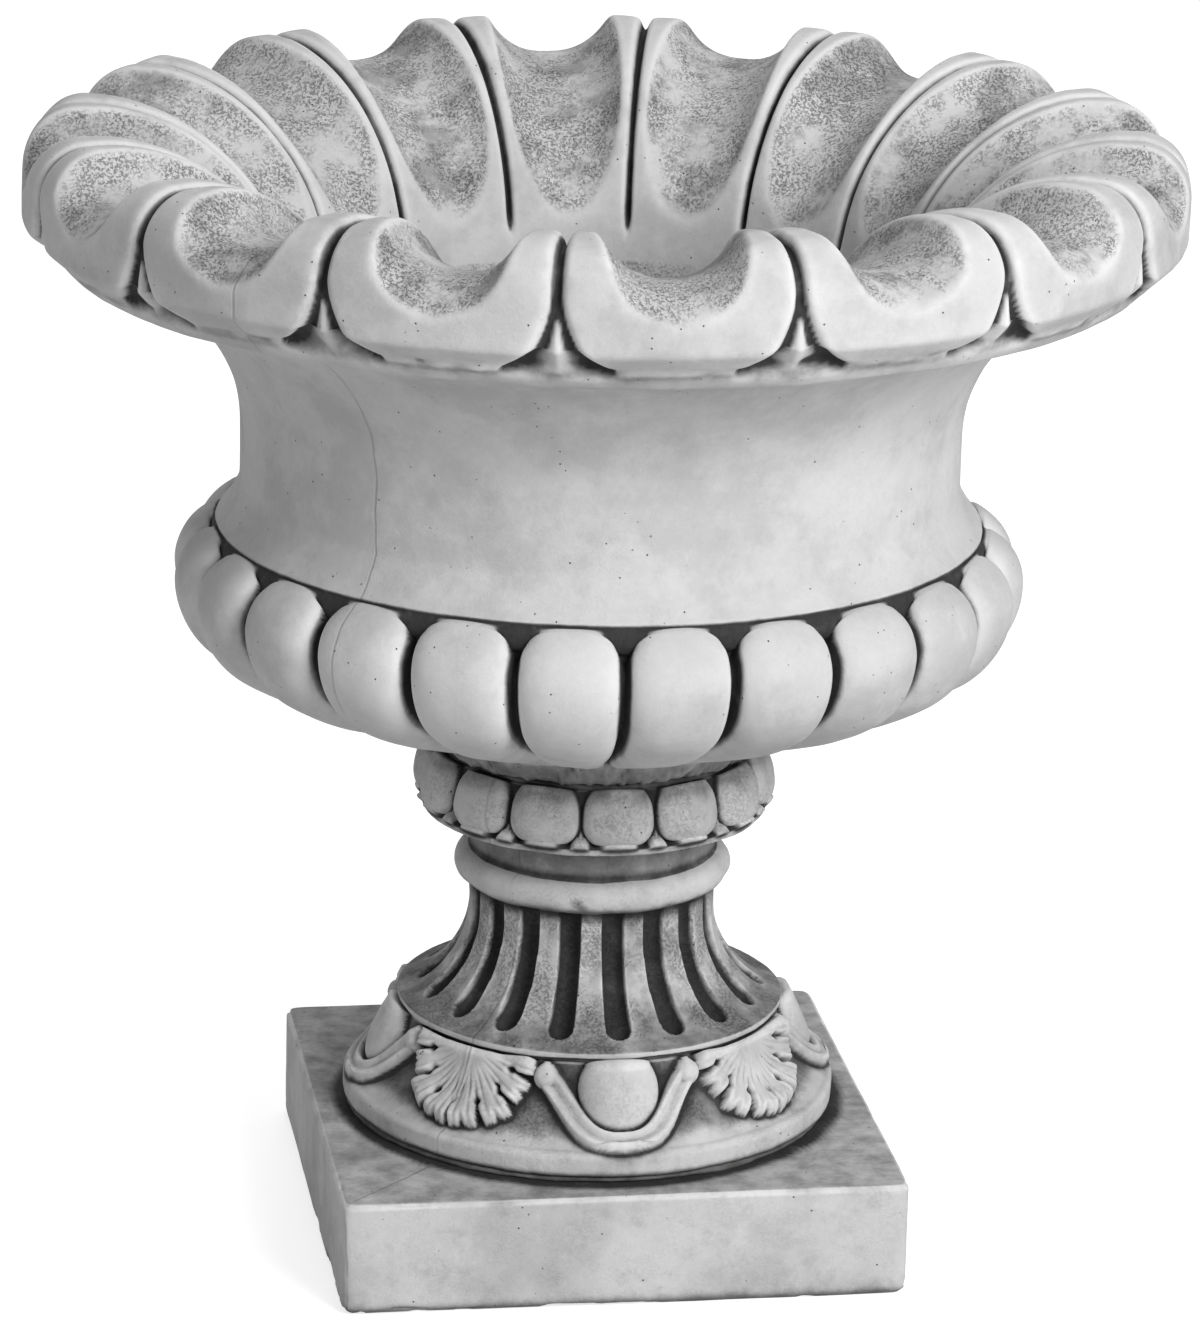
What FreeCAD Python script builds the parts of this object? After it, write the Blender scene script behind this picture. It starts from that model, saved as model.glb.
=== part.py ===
"""A cast-stone garden urn on a square plinth, built as five castings stacked on mortar beds.

From the ground up: a square plinth, a carved foot with eggs, straps and leaves, a fluted stem,
a small lobed collar and a wide bowl. The bowl has a plain concave wall over a band of gadroon
lobes, and a rolled rim of scooped petals. A threaded pipe runs through the bores of all five
castings. It clamps them between a drain flange in the bowl's floor and a locknut under the
plinth, and it is also the bowl's drain.

Units are millimetres, +Z is up, and the origin is the middle of the plinth's underside.
Angles about Z are counted from +X, so the plinth's front face looks along -90 degrees.
"""

import FreeCAD, Part

import math
import os
import sys

import Sketcher
from FreeCAD import Placement, Rotation, Vector

# Driving sizes: cell name, value, and what it measures. Heights are above the piece's own seat.
SIZES = (
    ("bed", 3.0, "thickness of each mortar bed"),
    ("bed_inset", 3.0, "how far a bed stops short of the narrower casting"),
    ("tube_radius", 16.85, "outside radius of the drain pipe"),
    ("tube_wall", 3.2, "wall of the drain pipe"),
    ("tube_play", 1.65, "radial gap between the pipe and what it passes through"),
    ("thread_play", 0.05, "radial gap between the pipe's thread and what is screwed on it"),
    ("boss_radius", 38.0, "radius of the boss that centres one casting on the next"),
    ("boss_rise", 8.0, "height of that boss"),
    ("boss_play", 1.5, "gap round and under the boss"),
    ("plinth_side", 300.0, "side of the square plinth"),
    ("plinth_rise", 62.0, "height of the plinth"),
    ("plinth_corner", 4.0, "radius of the plinth's upright corners"),
    ("plinth_bevel", 2.5, "bevel on the plinth's top and bottom edges"),
    ("foot_radius", 132.8, "widest radius of the foot"),
    ("foot_edge", 11.0, "height of the plain edge at the foot's base"),
    ("foot_shoulder", 4.8, "width of the rounding over that edge"),
    ("foot_top_radius", 101.5, "radius of the foot under the stem's flange"),
    ("foot_rise", 52.0, "height of the foot"),
    ("motifs", 4, "eggs round the foot, and as many leaves"),
    ("egg_width", 40.0, "width of each egg on the foot"),
    ("egg_length", 45.0, "length of an egg, up the slope"),
    ("egg_relief", 7.0, "how far an egg stands out of the slope's chord"),
    ("strap_width", 12.0, "width of the strap that loops under each egg"),
    ("strap_relief", 3.0, "how far a strap stands out of the slope's chord"),
    ("strap_gap", 8.0, "gap between an egg and its strap"),
    ("curl_radius", 8.0, "radius of the curl at each end of a strap"),
    ("curl_relief", 4.5, "how far a curl stands out of the slope's chord"),
    ("leaf_length", 38.0, "length of one leaflet"),
    ("leaf_width", 12.0, "width of one leaflet"),
    ("leaf_relief", 5.0, "how far a leaflet stands out of the slope's chord"),
    ("leaf_fan", 30.0, "angle from one leaflet to the next, in degrees"),
    ("carving_depth", 14.0, "half depth of the rounded solids that the carving is made of"),
    ("stem_rise", 106.0, "height of the stem"),
    ("flange_radius", 103.8, "radius of the flange at the stem's base"),
    ("flange_edge", 4.0, "height of the flange's edge"),
    ("flare_radius", 95.0, "radius where the flange meets the fluted flare"),
    ("flare_low", 7.0, "height where the flange meets the fluted flare"),
    ("waist_radius", 66.0, "radius of the stem under its ring"),
    ("waist_high", 56.0, "height where the flare ends"),
    ("ring_low", 68.0, "height of the underside of the stem's ring"),
    ("ring_rise", 18.0, "height of that ring"),
    ("ring_radius", 74.0, "radius of that ring"),
    ("neck_radius", 65.5, "radius of the neck over the ring"),
    ("flutes", 18, "flutes round the stem"),
    ("flute_turn", 11.5, "turn of the flutes, in degrees"),
    ("flute_width", 11.5, "width of each flute"),
    ("flute_depth", 7.0, "depth of each flute"),
    ("flute_end", 88.0, "radius of the flutes' lower ends"),
    ("collar_rise", 33.0, "height of the collar"),
    ("collar_radius", 91.5, "radius of the collar's bottom ring"),
    ("collar_edge", 5.0, "height of that ring"),
    ("collar_seat", 82.0, "radius of the collar's top seat"),
    ("collar_core", 88.5, "radius of the collar between its buds"),
    ("buds", 14, "buds round the collar"),
    ("bud_reach", 97.0, "widest radius of the buds"),
    ("bud_width", 25.0, "half width of a bud"),
    ("bud_rise", 15.0, "half height of a bud"),
    ("bud_high", 10.0, "height of a bud's middle over the ring"),
    ("bowl_rise", 337.0, "height of the bowl from its seat to the rim's crest"),
    ("bowl_seat", 84.0, "radius of the bowl's seat"),
    ("belly_start", 92.0, "radius where the seat's short flare meets the underside"),
    ("belly_rise", 13.5, "height of that place"),
    ("belly_bend", 140.0, "radius where the sloping underside starts to round up"),
    ("belly_bend_high", 33.0, "height of that place"),
    ("lobes", 24, "gadroon lobes round the bowl"),
    ("lobe_turn", 2.6, "turn of the lobes, in degrees"),
    ("lobe_radius", 138.6, "radius of the middle of each lobe's ellipsoid"),
    ("lobe_high", 75.7, "height of that middle"),
    ("lobe_lean", 71.3, "lean of the ellipsoid from upright, in degrees"),
    ("lobe_length", 90.0, "half length of the ellipsoid"),
    ("lobe_depth", 47.3, "half depth of the ellipsoid"),
    ("lobe_width", 37.5, "half width of the ellipsoid"),
    ("groove_radius", 204.0, "radius of the shell behind the grooves between lobes"),
    ("groove_high", 95.0, "height of that place"),
    ("lip_radius", 201.7, "radius of the wall's lip over the lobes"),
    ("lip_low", 119.0, "height of that lip"),
    ("wall_radius", 189.8, "radius of the plain wall at its waist"),
    ("wall_low", 143.0, "height where the waist starts"),
    ("wall_high", 174.0, "height where the waist ends"),
    ("cove_radius", 280.0, "radius where the cove under the rim ends"),
    ("cove_high", 264.5, "height where the cove under the rim ends"),
    ("rim_radius", 303.0, "widest radius of the rim"),
    ("rim_edge_radius", 291.5, "radius of the rim's bottom edge"),
    ("rim_edge_high", 275.6, "height of the rim's bottom edge"),
    ("rim_face_low", 286.0, "height where the rim's upright face starts"),
    ("rim_face_high", 308.0, "height where the rim's upright face ends"),
    ("crest_outer", 276.0, "outer radius of the rim's crest"),
    ("crest_inner", 262.0, "inner radius of the rim's crest"),
    ("throat_radius", 163.0, "inside radius of the bowl's wall"),
    ("throat_high", 222.0, "height where the inside starts to flare"),
    ("hollow_high", 150.0, "height where the inside starts to close in"),
    ("floor_radius", 122.0, "radius of the bowl's floor"),
    ("floor_high", 37.0, "height of that floor's edge"),
    ("floor_fall", 3.0, "fall of the floor to the drain"),
    ("petals", 16, "petals round the rim"),
    ("petal_turn", -1.8, "turn of the petals, in degrees"),
    ("scoop_depth", 20.0, "depth of a petal's scoop at the crest"),
    ("scoop_round", 38.0, "radius of a scoop's own round section"),
    ("scoop_bend", 123.0, "radius that the scoop bends to inside the rim"),
    ("scoop_spill", 30.0, "radius that the scoop bends to over the rim"),
    ("groove_width", 4.5, "width of the groove between petals"),
    ("groove_depth", 8.0, "depth of that groove"),
    ("groove_low", 245.0, "height where that groove starts in the throat"),
    ("dart_high", 314.0, "height of the top of the dart between two petals"),
    ("dart_width", 24.0, "half width of a dart's foot"),
    ("dart_depth", 10.0, "depth of the hollows on both sides of a dart"),
    ("dart_set", 2.0, "how far a dart's ridge lies behind the petals"),
    ("flange_disc", 40.0, "radius of the drain flange"),
    ("flange_rise", 6.0, "thickness of the drain flange"),
    ("gasket_rise", 3.0, "thickness of the rubber gasket under it"),
    ("seat_play", 2.0, "gap round the flange and the washer in their recesses"),
    ("grid_radius", 27.0, "radius of the strainer plate"),
    ("grid_rise", 2.0, "thickness of the strainer plate"),
    ("grid_play", 0.4, "gap round the strainer plate"),
    ("grid_ring", 8.5, "radius of the ring of holes in the strainer"),
    ("grid_hole", 2.4, "radius of those holes"),
    ("grid_holes", 8, "holes in that ring"),
    ("pocket_depth", 27.0, "depth of the pocket under the plinth"),
    ("washer_radius", 34.0, "radius of the washer in that pocket"),
    ("washer_rise", 4.0, "thickness of that washer"),
    ("nut_flats", 46.0, "width of the locknut across its flats"),
    ("nut_rise", 11.0, "height of the locknut"),
    ("tube_tail", 4.0, "length of pipe that stands out of the locknut"),
)

QUARTER = 90.0
NEAR = 1e-4
AXES = {"x": "1; 0; 0", "y": "0; 1; 0", "z": "0; 0; 1"}

doc = FreeCAD.newDocument("urn_planter")
sheet = doc.addObject("Spreadsheet::Sheet", "Sizes")
for row, (name, value, note) in enumerate(SIZES, start=1):
    sheet.set(f"A{row}", name)
    sheet.set(f"B{row}", str(value))
    sheet.set(f"C{row}", note)
    sheet.setAlias(f"B{row}", name)
doc.recompute()


# ---------------------------------------------------------------- sizes


class Size:
    """A number that comes from the sheet: its value now, and the expression that gives it."""

    def __init__(self, value, text):
        self.value = float(value)
        self.text = text

    def __float__(self):
        return self.value

    def __neg__(self):
        return Size(-self.value, f"(0 - {self.text})")

    def __add__(self, other):
        return join(self, "+", other)

    def __radd__(self, other):
        return join(other, "+", self)

    def __sub__(self, other):
        return join(self, "-", other)

    def __rsub__(self, other):
        return join(other, "-", self)

    def __mul__(self, other):
        return join(self, "*", other)

    def __rmul__(self, other):
        return join(other, "*", self)

    def __truediv__(self, other):
        return join(self, "/", other)

    def __rtruediv__(self, other):
        return join(other, "/", self)


WORK = {
    "+": lambda a, b: a + b,
    "-": lambda a, b: a - b,
    "*": lambda a, b: a * b,
    "/": lambda a, b: a / b,
}


def size_of(thing):
    """A Size as it is, or a plain number as a Size."""
    return thing if isinstance(thing, Size) else Size(thing, f"({float(thing)!r})")


def join(a, sign, b):
    """The Size of two lengths or numbers joined by an arithmetic sign."""
    a, b = size_of(a), size_of(b)
    return Size(WORK[sign](a.value, b.value), f"({a.text} {sign} {b.text})")


def root(size):
    """The square root of a Size."""
    return Size(math.sqrt(size.value), f"sqrt({size.text})")


def cell(name):
    """The Size of one cell of the sheet."""
    return Size(sheet.get(name), f"Sizes.{name}")


# Sizes that several pieces share. Those that end in "low" are heights above the ground.
bed = cell("bed")
bore = cell("tube_radius") + cell("tube_play")
thread = cell("tube_radius") + cell("thread_play")
boss_hole = cell("boss_radius") + cell("boss_play")
boss_sink = cell("boss_rise") - bed + cell("boss_play")
foot_low = cell("plinth_rise") + bed
stem_low = foot_low + cell("foot_rise") + bed
collar_low = stem_low + cell("stem_rise") + bed
bowl_low = collar_low + cell("collar_rise") + bed
floor_drain = cell("floor_high") - cell("floor_fall")
flange_low = bowl_low + floor_drain - cell("flange_rise")
gasket_low = flange_low - cell("gasket_rise")
grid_low = bowl_low + floor_drain - cell("grid_rise")
washer_low = cell("pocket_depth") - cell("washer_rise")
nut_low = washer_low - cell("nut_rise")
tube_low = nut_low - cell("tube_tail")
slope_radius = cell("foot_radius") - cell("foot_shoulder")
slope_low = cell("foot_edge") + cell("foot_shoulder") / 2


# ---------------------------------------------------------------- bodies and sketches


def new_body(label, low=None):
    """A body of that name, standing at the height of a Size."""
    body = doc.addObject("PartDesign::Body", label)
    body.Label = label
    if low is not None:
        body.Placement = Placement(Vector(0, 0, float(low)), Rotation())
        body.setExpression("Placement.Base.z", low.text)
    return body


def origin_part(body, role):
    """A body's own origin plane or axis."""
    return next(part for part in body.Origin.OriginFeatures if part.Role == role)


def move(x=0, y=0, z=0, axis="z", angle=0):
    """The expression of one move: a shift, and then a turn in degrees about an axis there."""
    shift = "; ".join(size_of(v).text for v in (x, y, z))
    return f"placement(vector({shift}); rotation(vector({AXES[axis]}); {size_of(angle).text}))"


def attach(feature, body, plane, *moves):
    """Attaches a sketch or a primitive to one of its body's own planes, after some moves."""
    feature.AttachmentSupport = [(origin_part(body, plane), "")]
    feature.MapMode = "FlatFace"
    if moves:
        feature.setExpression("AttachmentOffset", " * ".join(moves))


def corner_at(sketch, edge, end, x, y):
    """Places one end of a sketch edge by its distances from the sketch's origin."""
    for kind, size, axis in (("DistanceX", x, -2), ("DistanceY", y, -1)):
        if abs(size.value) < NEAR:
            sketch.addConstraint(Sketcher.Constraint("PointOnObject", edge, end, axis))
            continue
        ends = (-1, 1, edge, end) if size.value > 0 else (edge, end, -1, 1)
        length = size if size.value > 0 else -size
        number = sketch.addConstraint(Sketcher.Constraint(kind, *ends, length.value))
        sketch.setExpression(f"Constraints[{number}]", length.text)


def arc_radius(a, b, bulge):
    """The radius of the arc from a to b whose sag is that share of its chord."""
    dx, dy = b[0] - a[0], b[1] - a[1]
    share = bulge if float(bulge) > 0 else -bulge
    return root(dx * dx + dy * dy) * ((0.25 + share * share) / (2 * share))


def start_and_end(sketch, edge, start):
    """The point numbers of an edge's start and end, because an arc is kept anticlockwise."""
    first = sketch.getPoint(edge, 1)
    gap = math.hypot(first.x - start[0].value, first.y - start[1].value)
    return (1, 2) if gap < NEAR else (2, 1)


def outline(body, name, plane, points, *moves):
    """A sketch with one closed outline. A point is (x, y) or (x, y, bulge): the bulge is the sag
    of the arc to the next point as a share of its chord, positive to the right of the way."""
    sketch = body.newObject("Sketcher::SketchObject", name)
    attach(sketch, body, plane, *moves)
    corners = [tuple(size_of(v) for v in point[:2]) for point in points]
    bulges = [point[2] if len(point) > 2 else 0 for point in points]
    after = [(n + 1) % len(points) for n in range(len(points))]
    for n, bulge in enumerate(bulges):
        a, b = (Vector(c[0].value, c[1].value, 0) for c in (corners[n], corners[after[n]]))
        if bulge:
            side = Vector(b.y - a.y, a.x - b.x, 0)
            sketch.addGeometry(Part.Arc(a, (a + b) * 0.5 + side * float(bulge), b), False)
        else:
            sketch.addGeometry(Part.LineSegment(a, b), False)
    ends = [start_and_end(sketch, n, corners[n]) for n in range(len(points))]
    for n, bulge in enumerate(bulges):
        joint = Sketcher.Constraint("Coincident", n, ends[n][1], after[n], ends[after[n]][0])
        sketch.addConstraint(joint)
        corner_at(sketch, n, ends[n][0], *corners[n])
        if bulge:
            radius = arc_radius(corners[n], corners[after[n]], bulge)
            number = sketch.addConstraint(Sketcher.Constraint("Radius", n, radius.value))
            sketch.setExpression(f"Constraints[{number}]", radius.text)
    return sketch


# ---------------------------------------------------------------- features


def finish(body, feature, adds):
    """Makes a feature the tip of its body, and stops if it added or cut nothing."""
    body.Tip = feature
    doc.recompute()
    before = feature.BaseFeature.Shape.Volume if feature.BaseFeature else 0.0
    change = feature.Shape.Volume - before
    if (change if adds else -change) <= 0:
        sys.exit(f"{body.Label}: {feature.Name} changed the volume by {change:.1f}")
    return feature


def revolve(body, name, points, adds=True):
    """A solid, or a cut, turned about the body's axis from an outline in radius and height."""
    sketch = outline(body, f"{name}_outline", "XZ_Plane", points)
    kind = "Revolution" if adds else "Groove"
    feature = body.newObject(f"PartDesign::{kind}", name)
    feature.Profile = sketch
    feature.ReferenceAxis = (sketch, ["V_Axis"])
    feature.Angle = 360
    return finish(body, feature, adds)


def primitive(body, name, kind, plane, sizes, *moves):
    """An additive or subtractive primitive, placed by moves from one of the body's planes."""
    feature = body.newObject(f"PartDesign::{kind}", name)
    feature.Refine = False
    for field, size in sizes.items():
        size = size_of(size)
        setattr(feature, field, size.value)
        feature.setExpression(field, size.text)
    attach(feature, body, plane, *moves)
    return finish(body, feature, kind.startswith("Additive"))


def slot(body, name, points, width, *moves):
    """A cut of that width, to both sides of an outline in radius and height."""
    sketch = outline(body, f"{name}_outline", "XZ_Plane", points, *moves)
    feature = body.newObject("PartDesign::Pocket", name)
    feature.Profile = sketch
    feature.Type = "Length"
    feature.SideType = "Symmetric"
    feature.Length = width.value
    feature.setExpression("Length", width.text)
    return finish(body, feature, False)


def repeat(body, name, originals, times, adds):
    """Copies of some features, evenly round the body's axis."""
    feature = body.newObject("PartDesign::PolarPattern", name)
    feature.Originals = originals
    feature.Axis = (origin_part(body, "Z_Axis"), [""])
    feature.Angle = 360
    feature.Occurrences = int(times.value)
    feature.setExpression("Occurrences", times.text)
    return finish(body, feature, adds)


def boss(inner):
    """The start of a casting's outline: its bore and the boss under its seat."""
    radius, rise = cell("boss_radius"), cell("boss_rise")
    return [(inner, -rise), (radius, -rise), (radius, 0)]


def recess(inner, high):
    """The end of a casting's outline: the recess for the next boss, and the bore."""
    return [(boss_hole, high), (boss_hole, high - boss_sink), (inner, high - boss_sink)]


def ring(label, low, inner, outer, rise):
    """A piece that is a plain flat ring."""
    body = new_body(label, low)
    revolve(body, "ring", [(inner, 0), (outer, 0), (outer, rise), (inner, rise)])
    return body


# ---------------------------------------------------------------- the castings


def plinth():
    """The square block, with a recess for the foot on top and a pocket for the nut below."""
    body = new_body("plinth")
    half, rise, bevel = cell("plinth_side") / 2, cell("plinth_rise"), cell("plinth_bevel")
    square = [(half, -half), (half, half), (-half, half), (-half, -half)]
    pad = body.newObject("PartDesign::Pad", "block")
    pad.Profile = outline(body, "block_outline", "XY_Plane", square)
    pad.setExpression("Length", rise.text)
    finish(body, pad, True)
    fillet = body.newObject("PartDesign::Fillet", "corners")
    fillet.Base = (pad, edge_names(pad, lambda box: box.ZLength > NEAR))
    fillet.setExpression("Radius", cell("plinth_corner").text)
    finish(body, fillet, False)
    chamfer = body.newObject("PartDesign::Chamfer", "bevels")
    chamfer.Base = (fillet, edge_names(fillet, lambda box: box.ZLength < NEAR))
    chamfer.setExpression("Size", bevel.text)
    finish(body, chamfer, False)
    pocket = cell("washer_radius") + cell("seat_play")
    bottom = [(0, 0), (pocket, 0), (pocket, cell("pocket_depth")), (bore, cell("pocket_depth"))]
    top = [(bore, rise - boss_sink), (boss_hole, rise - boss_sink), (boss_hole, rise), (0, rise)]
    revolve(body, "bore", bottom + top, adds=False)
    return body


def edge_names(feature, wanted):
    """The names of a feature's edges whose bounding boxes pass a test."""
    edges = enumerate(feature.Shape.Edges, start=1)
    return [f"Edge{n}" for n, edge in edges if wanted(edge.BoundBox)]


def foot():
    """The carved foot: eggs in straps and fans of leaflets on a hollow slope."""
    piece = doc.addObject("Part::Feature", "foot")
    piece.Label = "foot"
    piece.Shape = foot_shape()
    piece.Placement = Placement(Vector(0, 0, foot_low.value), Rotation())
    piece.setExpression("Placement.Base.z", foot_low.text)
    return piece


def foot_shape():
    """One egg and one leaf on their share of the slope, repeated round the foot."""
    wide, top, rise = cell("foot_radius"), cell("foot_top_radius"), cell("foot_rise")
    toe, times = cell("foot_shoulder") / 2, int(float(cell("motifs")))
    pitch = 360 / times
    profile = flat_face(boss(bore) + [
        (wide - toe, 0), (wide, toe), (wide, cell("foot_edge"), 0.2),
        (slope_radius, slope_low, -0.08), (top, rise),
    ] + recess(bore, rise))
    share = turned(profile, -pitch / 4).revolve(Vector(), Vector(0, 0, 1), pitch)
    reach = 2 * float(wide)
    above = Part.makeBox(2 * reach, 2 * reach, reach, Vector(-reach, -reach, float(rise)))
    for solid in foot_motif(pitch):
        share = share.fuse(solid)
    share = share.cut(above)
    copies = [turned(share, n * pitch) for n in range(times)]
    return copies[0].fuse(copies[1:]).removeSplitter()


def foot_motif(pitch):
    """The solids of an egg in its strap, and of a leaf half a pitch further round."""
    deep = float(cell("carving_depth"))
    run, climb = slope_radius - cell("foot_top_radius"), cell("foot_rise") - slope_low
    lean, length = math.degrees(math.atan2(run, climb)), math.hypot(run, climb)
    slope = Placement(Vector(float(slope_radius), 0, float(slope_low)),
                      Rotation(Vector(0, 1, 0), -lean))

    egg_half = float(cell("egg_width")) / 2
    near = egg_half + float(cell("strap_gap"))
    far = near + float(cell("strap_width"))
    bend = (near + far) / 2
    egg = ellipsoid(deep, egg_half, float(cell("egg_length")) / 2)
    egg.translate(Vector(float(cell("egg_relief")) - deep, 0, bend))
    strap = turned(flat_face([
        (-far, length), (-far, bend, 0.5), (far, bend), (far, length),
        (near, length), (near, bend, -0.5), (-near, bend), (-near, length),
    ]).extrude(Vector(0, -deep, 0)), QUARTER)
    strap.translate(Vector(float(cell("strap_relief")) - deep, 0, 0))
    motif = [placed(egg, slope), placed(strap, slope)]
    curl = float(cell("curl_radius"))
    for side in (-1, 1):
        start = Vector(float(cell("curl_relief")) - deep, side * far, length - curl)
        motif.append(placed(Part.makeCylinder(curl, deep, start, Vector(1, 0, 0)), slope))

    leaf = ellipsoid(deep, float(cell("leaf_width")) / 2, float(cell("leaf_length")) / 2)
    leaf.translate(Vector(float(cell("leaf_relief")) - deep, 0, -float(cell("leaf_length")) / 2))
    for place in (-2, -1, 0, 1, 2):
        fan = Placement(Vector(0, 0, length),
                        Rotation(Vector(1, 0, 0), place * float(cell("leaf_fan"))))
        motif.append(turned(placed(leaf, slope.multiply(fan)), pitch / 2))
    return motif


def ellipsoid(x_half, y_half, z_half):
    """An ellipsoid about the origin, from its three half sizes."""
    scale = FreeCAD.Matrix()
    scale.scale(x_half, y_half, z_half)
    return Part.makeSphere(1).transformGeometry(scale)


def placed(shape, placement):
    """A copy of a shape, moved by a placement."""
    return shape.transformed(placement.toMatrix())


def stem():
    """The fluted stem, with a thin flange at its foot and a round ring at its neck."""
    body = new_body("stem", stem_low)
    waist, neck, rise = cell("waist_radius"), cell("neck_radius"), cell("stem_rise")
    low, high = cell("ring_low"), cell("ring_low") + cell("ring_rise")
    ring_bulge = (cell("ring_radius") - waist) / cell("ring_rise")
    revolve(body, "flare", boss(bore) + [
        (cell("flange_radius"), 0), (cell("flange_radius"), cell("flange_edge")),
        (cell("flare_radius"), cell("flare_low"), -0.137), (waist, cell("waist_high")),
        (waist, low, ring_bulge), (waist, high), (neck, high), (neck, rise),
    ] + recess(bore, rise))
    depth, width, end = cell("flute_depth"), cell("flute_width"), cell("flute_end")
    floor = waist - depth
    turned = move(axis="y", angle=cell("flute_turn"))
    cut = slot(body, "flute", [
        (floor, low), (floor, cell("waist_high"), 0.137), (end, cell("flange_edge")), (end, low),
    ], width, turned)
    end_sizes = {"Radius": width / 2, "Height": low - cell("flange_edge")}
    around = move(axis="z", angle=cell("flute_turn"))
    tip = primitive(body, "flute_tip", "SubtractiveCylinder", "XY_Plane", end_sizes,
                    around, move(end, 0, cell("flange_edge")))
    repeat(body, "fluting", [cut, tip], cell("flutes"), False)
    return body


def collar():
    """The small collar: a ring of buds over a thin flat edge."""
    body = new_body("collar", collar_low)
    rise, edge = cell("collar_rise"), cell("collar_edge")
    revolve(body, "core", boss(bore) + [
        (cell("collar_radius"), 0), (cell("collar_radius"), edge), (cell("collar_core"), edge),
        (cell("collar_core"), rise / 2, 0.05), (cell("collar_seat"), rise),
    ] + recess(bore, rise))
    half = cell("bud_width")
    bud_sizes = {"Radius1": half, "Radius2": half, "Radius3": cell("bud_rise")}
    bud = primitive(body, "bud", "AdditiveEllipsoid", "XZ_Plane", bud_sizes,
                    move(axis="y", angle=2 * QUARTER / cell("buds")),
                    move(cell("bud_reach") - half, edge + cell("bud_high")))
    repeat(body, "budding", [bud], cell("buds"), True)
    return body


def bowl_outside():
    """The bowl's outline in radius and height, as if it were solid and had plain lobes."""
    rise = cell("bowl_rise")
    return boss(bore) + [
        (cell("bowl_seat"), 0), (cell("belly_start"), cell("belly_rise")),
        (cell("belly_bend"), cell("belly_bend_high"), 0.097),
        (cell("groove_radius"), cell("groove_high")), (cell("lip_radius"), cell("lip_low"), -0.08),
        (cell("wall_radius"), cell("wall_low")), (cell("wall_radius"), cell("wall_high"), -0.207),
        (cell("cove_radius"), cell("cove_high")), (cell("rim_edge_radius"), cell("rim_edge_high")),
        (cell("rim_radius"), cell("rim_face_low")),
        (cell("rim_radius"), cell("rim_face_high"), 0.2),
        (cell("crest_outer"), rise), (bore, rise),
    ]


def bowl_inside():
    """The outline of the hollow in the bowl, which reaches a little way over the crest."""
    rise, over = cell("bowl_rise"), cell("seat_play")
    seat_hole = cell("flange_disc") + cell("seat_play")
    seat_low = floor_drain - cell("flange_rise") - cell("gasket_rise")
    return [
        (0, seat_low), (seat_hole, seat_low), (seat_hole, floor_drain),
        (cell("floor_radius"), cell("floor_high"), 0.2),
        (cell("throat_radius"), cell("hollow_high")),
        (cell("throat_radius"), cell("throat_high"), -0.2), (cell("crest_inner"), rise),
        (cell("crest_inner"), rise + over), (0, rise + over),
    ]


def rim_zone():
    """The outline of the zone over the throat, where the petals are."""
    low, over = cell("throat_high"), cell("bowl_rise") + cell("seat_play")
    wide = cell("rim_radius") + cell("seat_play")
    return [(0, low), (wide, low), (wide, over), (0, over)]


def fused(label, base, tool, low):
    """One piece made of two overlapping or touching solids, standing at the height of a Size."""
    whole = doc.addObject("Part::Fuse", label)
    whole.Label = label
    whole.Base = base
    whole.Tool = tool
    whole.Placement = Placement(Vector(0, 0, low.value), Rotation())
    whole.setExpression("Placement.Base.z", low.text)
    doc.recompute()
    return whole


def bowl():
    """The bowl: a shell with gadroon lobes, and the ring of petals fused on it."""
    shell = new_body("bowl_shell")
    revolve(shell, "shell", bowl_outside())
    lobe_sizes = {"Radius1": cell("lobe_width"), "Radius2": cell("lobe_depth"),
                  "Radius3": cell("lobe_length")}
    lobe = primitive(shell, "lobe", "AdditiveEllipsoid", "XZ_Plane", lobe_sizes,
                     move(axis="y", angle=cell("lobe_turn")),
                     move(cell("lobe_radius"), cell("lobe_high"), 0, "z", -cell("lobe_lean")))
    repeat(shell, "gadroons", [lobe], cell("lobes"), True)
    revolve(shell, "hollow", bowl_inside(), adds=False)
    revolve(shell, "rim_trim", rim_zone(), adds=False)

    rim = doc.addObject("Part::Feature", "petal_ring")
    rim.Shape = petal_ring()
    return fused("bowl", shell, rim, bowl_low)


def flat_face(points):
    """A flat face in the XZ plane from the points of an outline."""
    corners = [Vector(float(point[0]), 0, float(point[1])) for point in points]
    edges = []
    for n, point in enumerate(points):
        a, b = corners[n], corners[(n + 1) % len(points)]
        bulge = float(point[2]) if len(point) > 2 else 0
        side = Vector(b.z - a.z, 0, a.x - b.x)
        middle = (a + b) * 0.5 + side * bulge
        edges.append((Part.Arc(a, middle, b) if bulge else Part.LineSegment(a, b)).toShape())
    return Part.Face(Part.Wire(edges))


def turned(shape, angle):
    """A copy of a shape, turned about the vertical axis by degrees."""
    copy = shape.copy()
    copy.rotate(Vector(), Vector(0, 0, 1), angle)
    return copy


def petal_ring():
    """The upper part of the bowl: one petal's sector, cut out of the ring and repeated."""
    times = int(cell("petals").value)
    pitch = 360 / times
    section = flat_face(bowl_outside()).cut(flat_face(bowl_inside())).common(flat_face(rim_zone()))
    sector = turned(section.Faces[0], -pitch / 2).revolve(Vector(), Vector(0, 0, 1), pitch)
    blade = groove().fuse(dart())
    for cutter in scoop() + [turned(blade, -pitch / 2), turned(blade, pitch / 2)]:
        before = sector.Volume
        sector = sector.cut(cutter)
        if sector.Volume >= before:
            sys.exit("bowl: a cut in the petal's sector removed nothing")
    turn = float(cell("petal_turn"))
    sectors = [turned(sector, turn + n * pitch) for n in range(times)]
    return sectors[0].fuse(sectors[1:]).removeSplitter()


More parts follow.
